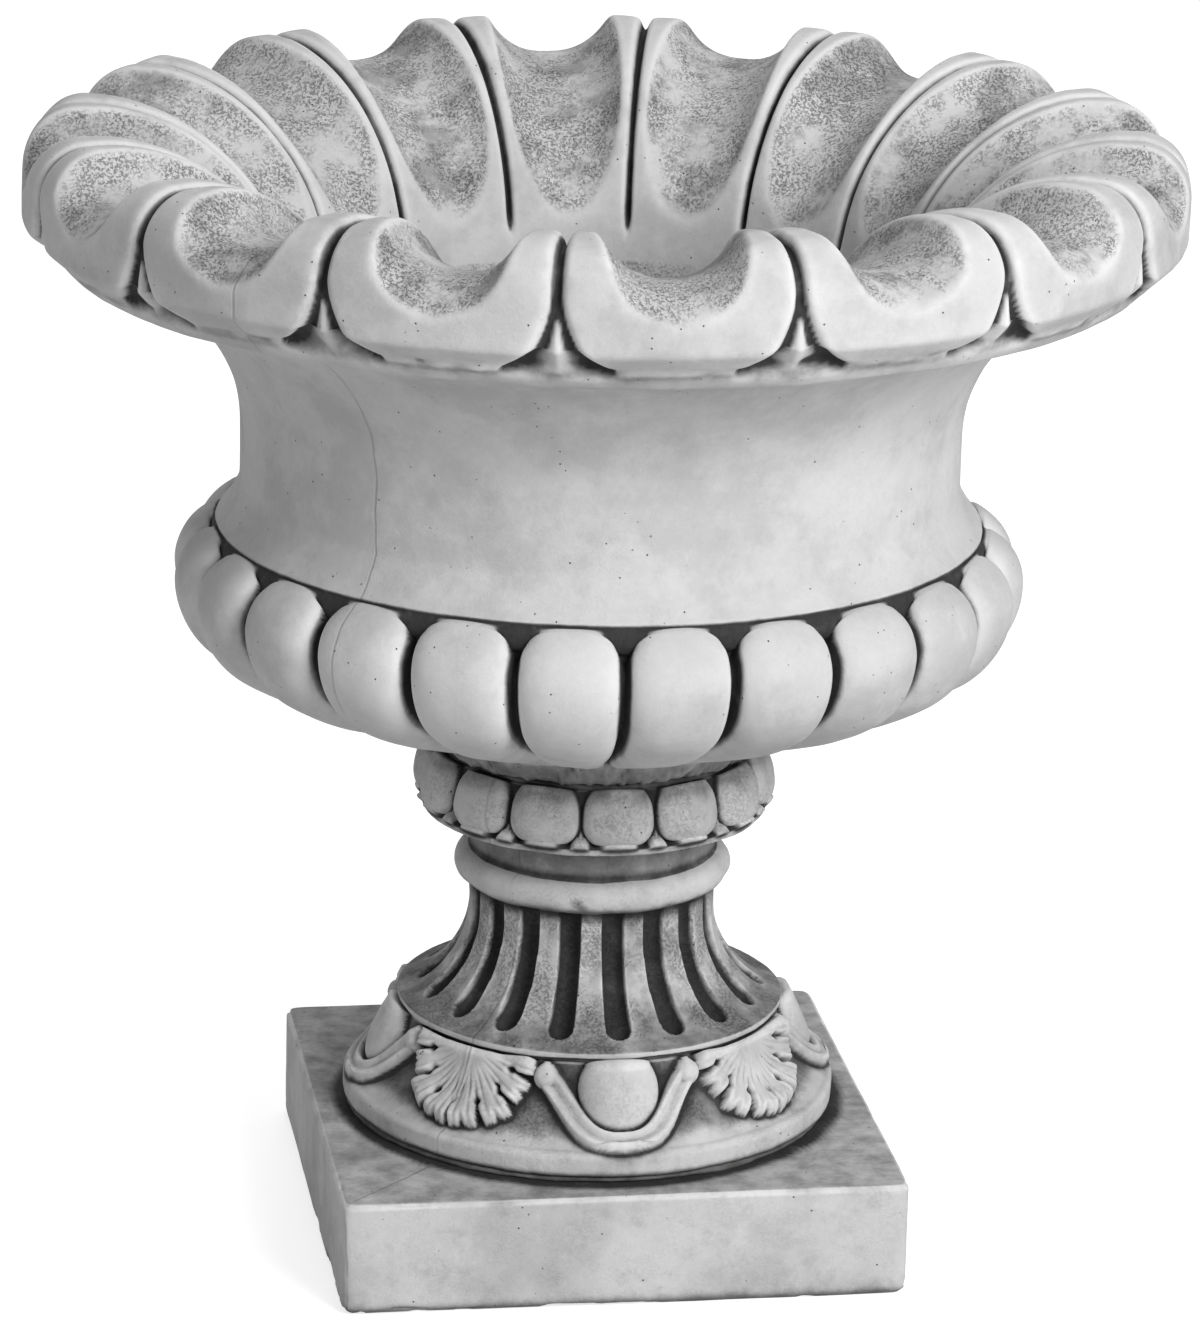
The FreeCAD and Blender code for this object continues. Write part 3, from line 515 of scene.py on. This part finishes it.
# Half of an egg's strap follows a curve that four points (across, up) steer.
STRAP = ((0, 4.5), (21, 3.5), (24, 25), (41, 41))
STRAP_PARTS = 10
STRAP_HALF = 7.6
CURL_ACROSS = 42.0
CURL_DROP = 6.0
CURL_RADIUS = 7.5
LEAF_REACH = 48.0
LEAF_STEM = 34.0
LEAFLETS = 4
LEAFLET_TURN = math.radians(24.0)


def foot_line():
    """The foot's outline: plain edge, shoulder and hollow slope."""
    low, high = FOOT_LOW, FOOT_HIGH
    return Line(boss_start(low) + [
        (BOSS, low, 0, 4, "seat"), (131.5, low, 0, 0.8, "edge"), (132.8, low + 3, 0, 0.8, "edge"),
        (132.8, low + 10.5, 0.2, 0.7, "shoulder"), (128.5, low + 13.6, -0.10, 0.7, "slope"),
        (101, high, 0, 2, "top_face"),
    ] + recess_end(high), rounding=0.9)


def stroke(x, y, ends, half, tip=None):
    """A rounded bar's section, 1 on its middle line and 0 at its edge, from one end to another."""
    (x0, y0), (x1, y1) = ends
    dx, dy = x1 - x0, y1 - y0
    t = np.clip(((x - x0) * dx + (y - y0) * dy) / (dx * dx + dy * dy), 0, 1)
    width = half + ((tip or half) - half) * t
    return 1 - np.hypot(x - x0 - t * dx, y - y0 - t * dy) / width


def curve(points, count):
    """Places along the smooth curve that four points steer, in so many parts."""
    t = np.linspace(0, 1, count + 1)[:, None]
    weights = ((1 - t) ** 3, 3 * t * (1 - t) ** 2, 3 * t * t * (1 - t), t ** 3)
    return sum(w * np.array(point, float) for w, point in zip(weights, points))


def dome(share):
    """The height of a round cushion from how far in from its edge a place is, 0 to 1."""
    return np.sqrt(np.clip(1 - (1 - np.clip(share, 0, 1)) ** 2, 0, 1))


def egg_motif(x, y, top):
    """The relief of an egg in its strap, in a field where y goes up the slope to top."""
    x = np.abs(x)
    from_middle = y - (top - EGG_DROP)
    egg = 1 - np.hypot(x / EGG_HALF, from_middle / np.where(from_middle < 0, EGG_BELOW, EGG_ABOVE))
    height = EGG_DEPTH * np.sqrt(np.clip(1 - (1 - np.clip(egg, 0, 1)) ** 2.3, 0, 1))
    band = np.full(np.broadcast(x, y).shape, -9.0)
    places = curve(STRAP, STRAP_PARTS)
    for ends in zip(places, places[1:]):
        band = np.maximum(band, stroke(x, y, ends, STRAP_HALF))
    strap = 6.5 * smooth(0, 0.4, band) - 1.5 * smooth(0.55, 1.0, band)
    from_curl = np.hypot(x - CURL_ACROSS, y - (top - CURL_DROP))
    curl = 8.5 * dome((1 - from_curl / CURL_RADIUS) * 1.3)
    return np.maximum(np.maximum(height, strap), curl)


def leaf_motif(x, y, top):
    """The relief of an acanthus leaf that hangs in two halves from the top of the slope."""
    x = np.abs(x)
    from_x, from_y = x + 1.0, top + 5 - y
    angle, far = np.arctan2(from_x, from_y), np.hypot(from_x, from_y)
    part = angle / LEAFLET_TURN
    number = np.floor(part)
    between = np.abs(part - number - 0.5) * 2
    reach = LEAF_REACH - 1.5 * number + 2.0 * (number % 2)
    edge = reach - 8.5 * smooth(0.7, 1.0, between) - 2.0 * bump(between, 0.16) - far
    share = far / reach
    height = 5.2 * dome(edge / 5.0) + 3.4 * smooth(0.5, 0.9, share) * dome(edge / 6.0)
    height = height - 3.0 * bump(between - 1, 0.16) * smooth(0.42, 0.8, share)
    height = height - 0.8 * bump(between - 0.4, 0.12) * smooth(0.2, 0.5, share)
    eye = np.hypot((between - 1) * far * LEAFLET_TURN / 2, far - reach + 14)
    height = height - 5.5 * bump(eye, 2.2)
    height = height * (part < LEAFLETS) * (y < top + 4)
    stem = 5.5 * dome(stroke(x, y, ((0, top), (0, top - LEAF_STEM)), 5.5, 2.0) * 1.5)
    return np.maximum(np.maximum(height, 0) * (edge > 0), stem)


def foot_relief(line, theta):
    """Four eggs in straps, and four leaves between them."""
    s = line.s[:, None]
    top = line.end("slope") - line.start("slope")
    y = s - line.start("slope")
    egg_x = away(theta, MOTIFS, EGG_PHASE) * MOTIF_RADIUS
    leaf_x = away(theta, MOTIFS, EGG_PHASE + 180 / MOTIFS) * MOTIF_RADIUS
    sloped = line.within("shoulder", "slope")
    height = np.maximum(egg_motif(egg_x, y + 1, top), leaf_motif(leaf_x, y + 1, top))
    height = height * sloped
    # The bare slope between the motifs is darker, grime with painted shade; the joint term is a
    # painted shadow along the foot's bottom edge on the plinth.
    bare = sloped * (1 - smooth(0.4, 2.5, height)) * smooth(2, 16, y)
    joint = bump(s - line.start("edge"), 3.0)
    return height, 0.5 * bare + 0.9 * joint + 0.1, 0.35 * bare + 0.15


# ---------------------------------------------------------------- plinth and mortar

PLINTH_HALF = 150.0
# The bevel along the ground, in and up, and the one round the top.
PLINTH_FOOT = (3.2, 3.6)
PLINTH_BEVEL = 2.0
# How sharp the square's corners are: with 60 they are rounded back by 2.4 mm.
SQUARE_POWER = 60.0
# The columns of one side, and how much they crowd towards its ends.
SIDE_CELLS = 220
CROWD = 1.25
POCKET_RADIUS = 36.0
POCKET_HIGH = 27.0
# The radii between which the dark ring round the foot fades in: partly stain, partly painted shade
# where the foot meets the plinth.
FOOT_RING = (141.0, 134.5)
MORTAR_COLS = 720


def squared(theta):
    """The reach of a square with rounded corners in each direction, for a half side of 1."""
    x, y = np.abs(np.cos(theta)), np.abs(np.sin(theta))
    return (x ** SQUARE_POWER + y ** SQUARE_POWER) ** (-1 / SQUARE_POWER)


def square_angles():
    """Directions that crowd towards a square's corners, the same on each side."""
    spot = (np.arange(SIDE_CELLS) + 0.5) / SIDE_CELLS * 2 - 1
    spot = np.sign(spot) * (1 - (1 - np.abs(spot)) ** CROWD)
    quarter = np.arctan(spot)
    return np.concatenate([quarter + n * TURN / 4 for n in range(4)])[None, :]


def plinth_line():
    """The plinth's outline at the middle of a side, from its bore round by its pocket."""
    half, high = PLINTH_HALF, PLINTH_HIGH
    inset, rise = PLINTH_FOOT
    return Line([
        (BORE, POCKET_HIGH, 0, 8, "round"), (POCKET_RADIUS, POCKET_HIGH, 0, 8, "round"),
        (POCKET_RADIUS, 0, 0, 4, "round"), (POCKET_RADIUS + 8, 0, 0, 6, "flat"),
        (half - inset, 0, 0, 0.8, "bevel"), (half, rise, 0, 1.5, "side"),
        (half, high - PLINTH_BEVEL, 0, 0.5, "bevel"), (half - PLINTH_BEVEL, high, 0, 2.5, "flat"),
        (BOSS_HOLE + 8, high, 0, 4, "round"), (BOSS_HOLE, high, 0, 4, "round"),
        (BOSS_HOLE, high - RECESS, 0, 6, "round"), (BORE, high - RECESS, 0, 10, "round"),
    ], rounding=0.7)


def plinth():
    """The square block: its outline runs on a square outside and on circles in the middle."""
    line = plinth_line()
    theta = square_angles()
    shape = (len(line.r), theta.shape[1])
    share = smooth(BOSS_HOLE + 4, BOSS_HOLE + 70, line.r)[:, None]
    reach = 1 + (squared(theta) - 1) * share
    waver = noise(shape, 16, 30, 71) * 0.35 + noise(shape, 3, 4, 72) * 0.1
    bevel = line.within("bevel")
    chips = np.maximum(0, noise(shape, 1.6, 4, 73) + 0.6 * noise(shape, 2, 14, 74) - 0.45)
    at_foot = bump(line.z, 5.0)[:, None] * (line.r > 100)[:, None]
    waver = waver - bevel * 1.2 * chips - at_foot * 3.0 * chips
    waver = waver * smooth(BOSS_HOLE + 4, BOSS_HOLE + 20, line.r)[:, None]
    r = (line.r[:, None] + line.out_r[:, None] * waver) * reach
    z = np.maximum(0, line.z[:, None] + line.out_z[:, None] * waver)
    places = np.stack([r * np.cos(theta), r * np.sin(theta), z], -1)
    upper = (line.z > PLINTH_HIGH / 2)[:, None]
    on_top = line.within("flat") * upper
    # Stain with painted shade round the foot, a painted shadow along the bottom edge, and the whole
    # top face darkened by painted shade.
    round_foot = smooth(*FOOT_RING, r) * on_top
    grime_and_shade = 0.7 * round_foot + 0.5 * at_foot + 0.22 * on_top + 0.14
    # A painted highlight along the top arris, with wear.
    wear_and_highlight = bevel * upper
    masks = {"grime_and_shade": grime_and_shade + 0 * theta, "pits": 0.1 + 0 * r, "wear_and_highlight": wear_and_highlight + 0 * theta}
    return grid_object("plinth_casting", places, masks, stone, ["plinth"])


def mortar_bed(node, swell, seed):
    """A mortar bed: a ring whose rim is squeezed out unevenly."""
    lowest, highest = (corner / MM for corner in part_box(node))
    radius, low, high = highest.x, lowest.z, highest.z
    line = Line([
        (BOSS_HOLE, low, 0, 6, "flat"), (radius - 2, low, 0, 0.8, "rim"),
        (radius, low + 0.6, 0.15, 0.6, "rim"), (radius, high - 0.6, 0, 0.8, "rim"),
        (radius - 2, high, 0, 6, "flat"), (BOSS_HOLE, high, 0, 2, "flat"),
    ], rounding=0.5)

    def relief(line, theta):
        shape = (len(line.r), theta.shape[1])
        out = swell * (0.6 + 0.4 * noise(shape, 3, 12, seed)) + 0.5 * noise(shape, 1.2, 2.5, seed + 5)
        side = line.within("rim") * np.abs(line.out_r)[:, None]
        return out * side, 0.35 + 0 * out, 0.8 + 0 * out

    return turned(node, "mortar", line, MORTAR_COLS, relief, mortar, seed)


# ---------------------------------------------------------------- materials


class Nodes:
    """A procedural material's node tree, built up with short calls."""

    def __init__(self, name):
        self.material = bpy.data.materials.new(name)
        self.material.use_nodes = True
        self.tree = self.material.node_tree
        self.shader = next(n for n in self.tree.nodes if n.type == "BSDF_PRINCIPLED")
        self.place = self.add("ShaderNodeTexCoord").outputs["Object"]

    def add(self, kind, inputs=None, **settings):
        """A node with some settings, whose inputs are numbers or other nodes' outputs."""
        node = self.tree.nodes.new(kind)
        for key, value in settings.items():
            setattr(node, key, value)
        for key, value in (inputs or {}).items():
            self.feed(node.inputs[key], value)
        return node

    def feed(self, socket, value):
        """Sets a socket, or links it."""
        if isinstance(value, bpy.types.NodeSocket):
            self.tree.links.new(value, socket)
        else:
            socket.default_value = value

    def math(self, operation, *values):
        """The result of one sum on numbers or outputs."""
        node = self.add("ShaderNodeMath", dict(enumerate(values)), operation=operation)
        return node.outputs[0]

    def noise(self, scale, detail=4.0, rough=0.55):
        """Noise of about 0 to 1, with so many features to a metre."""
        inputs = {"Vector": self.place, "Scale": scale, "Detail": detail, "Roughness": rough}
        return self.add("ShaderNodeTexNoise", inputs).outputs[0]

    def ramp(self, value, low, high, start=0.0, end=1.0):
        """A value taken from one range to another, smoothly and no further."""
        inputs = {"Value": value, "From Min": low, "From Max": high, "To Min": start,
                  "To Max": end}
        node = self.add("ShaderNodeMapRange", inputs, interpolation_type="SMOOTHSTEP")
        return node.outputs[0]

    def blend(self, share, a, b):
        """a where the share is 0, and b where it is 1."""
        node = self.add("ShaderNodeMix", {0: share, 2: a, 3: b}, data_type="FLOAT")
        return node.outputs[0]

    def darken(self, tone, share, depth):
        """A tone that is darkened by so much where the share is 1."""
        return self.math("MULTIPLY", tone, self.math("MULTIPLY_ADD", share, -depth, 1.0))

    def mask(self, name):
        """One of the masks that a piece's points carry."""
        return self.add("ShaderNodeAttribute", attribute_name=name).outputs["Fac"]

    def dot(self, way):
        """How far a place lies that way from the origin, in metres."""
        inputs = {0: self.place, 1: way}
        node = self.add("ShaderNodeVectorMath", inputs, operation="DOT_PRODUCT")
        return node.outputs["Value"]

    def bump(self, height, distance, strength=1.0, under=None):
        """A bump of so many metres."""
        inputs = {"Height": height, "Distance": distance, "Strength": strength}
        if under is not None:
            inputs["Normal"] = under
        return self.add("ShaderNodeBump", inputs).outputs[0]

    def finish(self, colour, roughness, normal):
        """Joins the results to the shader."""
        self.feed(self.shader.inputs["Base Color"], colour)
        self.feed(self.shader.inputs["Roughness"], roughness)
        self.feed(self.shader.inputs["Normal"], normal)
        return self.material


# The mould's seam lies in the upright plane of SEAM_WAY, on that side of the axis alone.
SEAM_WAY = (-math.sqrt(0.5), -math.sqrt(0.5), 0.0)
SEAM_SIDE = (math.sqrt(0.5), -math.sqrt(0.5), 0.0)


def mottled(n, patch, grain):
    """The tone of bare stone: clouds, patches and grain, with darker blotches."""
    cloud, blotch = n.noise(5, 5), n.noise(11, 6, 0.68)
    tone = n.math("MULTIPLY_ADD", cloud, 0.18, 0.42)
    tone = n.math("MULTIPLY_ADD", patch, 0.17, tone)
    tone = n.math("MULTIPLY_ADD", grain, 0.08, tone)
    tone = n.math("SUBTRACT", tone, 0.105)
    tone = n.math("MULTIPLY", tone, n.ramp(blotch, 0.40, 0.56, 0.84, 1.0))
    # Paler where that mask is high: partly wear, partly a painted highlight on ridges and on the
    # plinth's top arris.
    worn = n.math("MULTIPLY", n.mask("wear_and_highlight"), n.ramp(patch, 0.3, 0.55))
    return n.blend(n.math("MULTIPLY", worn, 0.6), tone, 0.72)


def pitted(n):
    """The shares of fine stippling and of soot, both where the stone is pitted."""
    holes = n.ramp(n.noise(640, 4, 0.75), 0.50, 0.58)
    holes = n.math("MULTIPLY", holes, n.mask("pits"))
    holes = n.math("MULTIPLY", holes, n.ramp(n.noise(34, 4, 0.7), 0.36, 0.58))
    soot = n.math("MULTIPLY", n.ramp(n.noise(19, 6, 0.72), 0.49, 0.60), n.mask("pits"))
    return holes, soot


def pinholes(n):
    """The share of small round holes, which air left in the casting."""
    specks = n.add("ShaderNodeTexVoronoi", {"Vector": n.place, "Scale": 150.0})
    holes = n.ramp(specks.outputs["Distance"], 0.05, 0.09, 1.0, 0.0)
    return n.math("MULTIPLY", holes, n.ramp(n.noise(60, 2), 0.49, 0.55))


def mould_seam(n, patch):
    """The share of the thin seam that the mould left, broken where the stone is patched."""
    waver = n.math("MULTIPLY_ADD", n.noise(22, 3), 0.006, -0.003)
    across = n.math("ADD", n.dot(SEAM_SIDE), waver)
    seam = n.ramp(n.math("ABSOLUTE", across), 0.0003, 0.0010, 1.0, 0.0)
    seam = n.math("MULTIPLY", seam, n.ramp(n.dot(SEAM_WAY), 0.03, 0.05))
    return n.math("MULTIPLY", seam, n.ramp(patch, 0.34, 0.5))


def stone_material():
    """Weathered cast stone: pale, blotched and pitted, with dark stain and painted shade in its
    hollows, and paler worn ridges with painted highlights.
    """
    n = Nodes("weathered_cast_stone")
    patch, grain, dust = n.noise(26, 5, 0.6), n.noise(260, 4, 0.65), n.noise(900, 2)
    tone = mottled(n, patch, grain)
    holes, soot = pitted(n)
    tone = n.darken(tone, holes, 0.55)
    tone = n.darken(tone, soot, 0.38)
    pinhole = pinholes(n)
    tone = n.blend(pinhole, tone, 0.06)
    seam = mould_seam(n, patch)
    tone = n.darken(tone, seam, 0.22)

    # Where the mask of grime and painted shade is high, the tone is darkened and then turned near
    # black.
    uneven = n.math("MULTIPLY_ADD", n.noise(70, 5, 0.65), 0.75, -0.375)
    grime_and_shade = n.math("ADD", n.mask("grime_and_shade"), uneven)
    tone = n.darken(tone, n.ramp(grime_and_shade, 0.10, 0.62), 0.62)
    deep_grime_and_shade = n.math("MULTIPLY_ADD", grain, 0.03, 0.012)
    tone = n.blend(n.ramp(grime_and_shade, 0.5, 1.0), tone, deep_grime_and_shade)

    raised = n.math("SUBTRACT", n.math("MULTIPLY", grain, 0.35), holes)
    raised = n.math("SUBTRACT", raised, pinhole)
    raised = n.math("SUBTRACT", raised, n.math("MULTIPLY", seam, 0.4))
    normal = n.bump(patch, 0.0018, 0.4)
    normal = n.bump(raised, 0.0007, 0.8, normal)
    normal = n.bump(dust, 0.0002, 0.6, normal)
    roughness = n.math("MULTIPLY_ADD", patch, 0.2, 0.72)
    n.shader.inputs["Specular IOR Level"].default_value = 0.3
    return n.finish(tone, roughness, normal)


def plain_material(name, colour, spread, rough, metallic, scale, depth):
    """A material for the small parts: one colour that varies by a share either way, with so
    many patches to a metre, and a fine bump so many metres deep."""
    n = Nodes(name)
    cloud, fine = n.noise(scale, 4), n.noise(scale * 9, 3)
    mix = n.add("ShaderNodeMix", data_type="RGBA")
    n.feed(mix.inputs[0], n.ramp(cloud, 0.3, 0.7))
    mix.inputs[6].default_value = (*(c * (1 - spread) for c in colour), 1)
    mix.inputs[7].default_value = (*(min(1, c * (1 + spread)) for c in colour), 1)
    n.shader.inputs["Metallic"].default_value = metallic
    roughness = n.math("MULTIPLY_ADD", fine, 0.3, rough - 0.15)
    return n.finish(mix.outputs[2], roughness, n.bump(fine, depth, 0.6))


def dress(node, material):
    """Gives a carried-over CAD node its material."""
    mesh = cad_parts[node].data
    mesh.materials.clear()
    mesh.materials.append(material)


# ---------------------------------------------------------------- the object

stone = stone_material()
mortar = plain_material("rough_mortar", (0.10, 0.10, 0.098), spread=0.5, rough=0.92, metallic=0.0,
                        scale=60, depth=0.0008)
zinc = plain_material("dull_zinc", (0.42, 0.43, 0.44), spread=0.25, rough=0.5, metallic=0.9,
                      scale=70, depth=0.00015)
brass = plain_material("dull_brass", (0.42, 0.30, 0.12), spread=0.3, rough=0.42, metallic=0.9,
                       scale=60, depth=0.00012)
steel = plain_material("brushed_plate", (0.46, 0.46, 0.47), spread=0.15, rough=0.36, metallic=1.0,
                       scale=120, depth=0.00008)
rubber = plain_material("gasket_rubber", (0.022, 0.022, 0.022), spread=0.3, rough=0.75,
                        metallic=0.0, scale=90, depth=0.0001)

# Each casting's outline, relief, number of columns and seed.
CASTINGS = {
    "bowl": (bowl_line, bowl_relief, 1440, 21),
    "collar": (collar_line, collar_relief, 1008, 31),
    "stem": (stem_line, stem_relief, 1080, 41),
    "foot": (foot_line, foot_relief, 1200, 51),
}
# How far each bed's mortar swells out of its joint, and its seed.
BEDS = {"foot_bed": (1.5, 80), "stem_bed": (1.0, 90), "collar_bed": (1.5, 100),
        "bowl_bed": (3.0, 110)}
FITTINGS = {"drain_tube": zinc, "drain_flange": brass, "drain_gasket": rubber,
            "drain_strainer": steel, "plinth_washer": zinc, "plinth_locknut": zinc}

for node, (outline, relief, cols, seed) in CASTINGS.items():
    turned(node, "casting", outline(), cols, relief, stone, seed)
plinth()
for node, (swell, seed) in BEDS.items():
    mortar_bed(node, swell, seed)
for node, material in FITTINGS.items():
    dress(node, material)


# ---------------------------------------------------------------- floor, light and camera

CAMERA_AZIMUTH = -8.8873
CAMERA_ELEVATION = 17.1545
CAMERA_DISTANCE = 3.2531
CAMERA_ROLL = 1.2029
CAMERA_TARGET = (0.00206, -0.00032, 0.30423)
CAMERA_LENS = 164.73
CAMERA_SENSOR = 36.0
FLOOR_HALF = 20.0
SKY = 0.32
# Each lamp's azimuth, elevation, distance, size and power.
LAMPS = {
    "key": (27, 28, 3.2, 1.4, 98),
    "fill": (-70, 22, 3.4, 2.0, 12),
    "top": (150, 66, 3.0, 1.6, 17),
    "back": (176, 24, 3.6, 1.6, 16),
}


def backward(azimuth, elevation):
    """The direction from the object to a viewer, where azimuth 0 looks along +Y."""
    a, e = math.radians(azimuth), math.radians(elevation)
    return Vector((math.sin(a) * math.cos(e), -math.cos(a) * math.cos(e), math.sin(e)))


def photo_camera():
    """The camera at the photograph's viewing angle."""
    data = bpy.data.cameras.new("photo_camera")
    data.lens = CAMERA_LENS
    data.sensor_width = CAMERA_SENSOR
    data.clip_start, data.clip_end = 0.05, 60
    camera = bpy.data.objects.new("photo_camera", data)
    bpy.context.scene.collection.objects.link(camera)
    back = backward(CAMERA_AZIMUTH, CAMERA_ELEVATION)
    right = Vector((0, 0, 1)).cross(back).normalized()
    up = back.cross(right)
    roll = math.radians(CAMERA_ROLL)
    level = right * math.cos(roll) + up * math.sin(roll)
    upright = up * math.cos(roll) - right * math.sin(roll)
    place = Vector(CAMERA_TARGET) + back * CAMERA_DISTANCE
    axes = Matrix((level, upright, back)).transposed().to_4x4()
    camera.matrix_world = Matrix.Translation(place) @ axes
    bpy.context.scene.camera = camera


def soft_light(name, azimuth, elevation, distance, size, power):
    """A square area lamp that points at the middle of the urn."""
    data = bpy.data.lights.new(name, "AREA")
    data.shape = "SQUARE"
    data.size = size
    data.energy = power
    lamp = bpy.data.objects.new(name, data)
    bpy.context.scene.collection.objects.link(lamp)
    back = backward(azimuth, elevation)
    lamp.location = Vector(CAMERA_TARGET) + back * distance
    lamp.rotation_mode = "QUATERNION"
    lamp.rotation_quaternion = back.to_track_quat("Z", "Y")


def pale_floor():
    """A plain pale floor that keeps the object's shadow and looks white to the camera."""
    mesh = bpy.data.meshes.new("floor")
    corners = [(x * FLOOR_HALF, y * FLOOR_HALF, 0) for x, y in ((-1, -1), (1, -1), (1, 1), (-1, 1))]
    mesh.from_pydata(corners, [], [(0, 1, 2, 3)])
    floor = bpy.data.objects.new("floor", mesh)
    bpy.context.scene.collection.objects.link(floor)
    n = Nodes("pale_floor")
    colour = n.math("MULTIPLY_ADD", n.noise(3), 0.02, 0.58)
    n.finish(colour, 0.9, n.bump(n.noise(300), 0.0001, 0.1))
    seen = n.add("ShaderNodeLightPath").outputs
    share = n.math("MAXIMUM", seen["Is Camera Ray"], seen["Is Glossy Ray"])
    glow = n.add("ShaderNodeEmission", {"Strength": n.math("MULTIPLY", share, 0.70)})
    both = n.add("ShaderNodeAddShader", {0: n.shader.outputs[0], 1: glow.outputs[0]})
    output = next(x for x in n.tree.nodes if x.type == "OUTPUT_MATERIAL")
    n.feed(output.inputs["Surface"], both.outputs[0])
    mesh.materials.append(n.material)


def world_light(strength):
    """Weak light from all round, which looks white to the camera."""
    world = bpy.data.worlds.new("studio")
    bpy.context.scene.world = world
    world.use_nodes = True
    tree = world.node_tree
    background = next(x for x in tree.nodes if x.type == "BACKGROUND")
    background.inputs["Color"].default_value = (1, 1, 1, 1)
    path = tree.nodes.new("ShaderNodeLightPath")
    level = tree.nodes.new("ShaderNodeMapRange")
    tree.links.new(path.outputs["Is Camera Ray"], level.inputs["Value"])
    level.inputs["To Min"].default_value = strength
    level.inputs["To Max"].default_value = 1.0
    tree.links.new(level.outputs[0], background.inputs["Strength"])


photo_camera()
pale_floor()
world_light(SKY)
for name, settings in LAMPS.items():
    soft_light(name, *settings)
bpy.context.scene.view_settings.view_transform = "Standard"
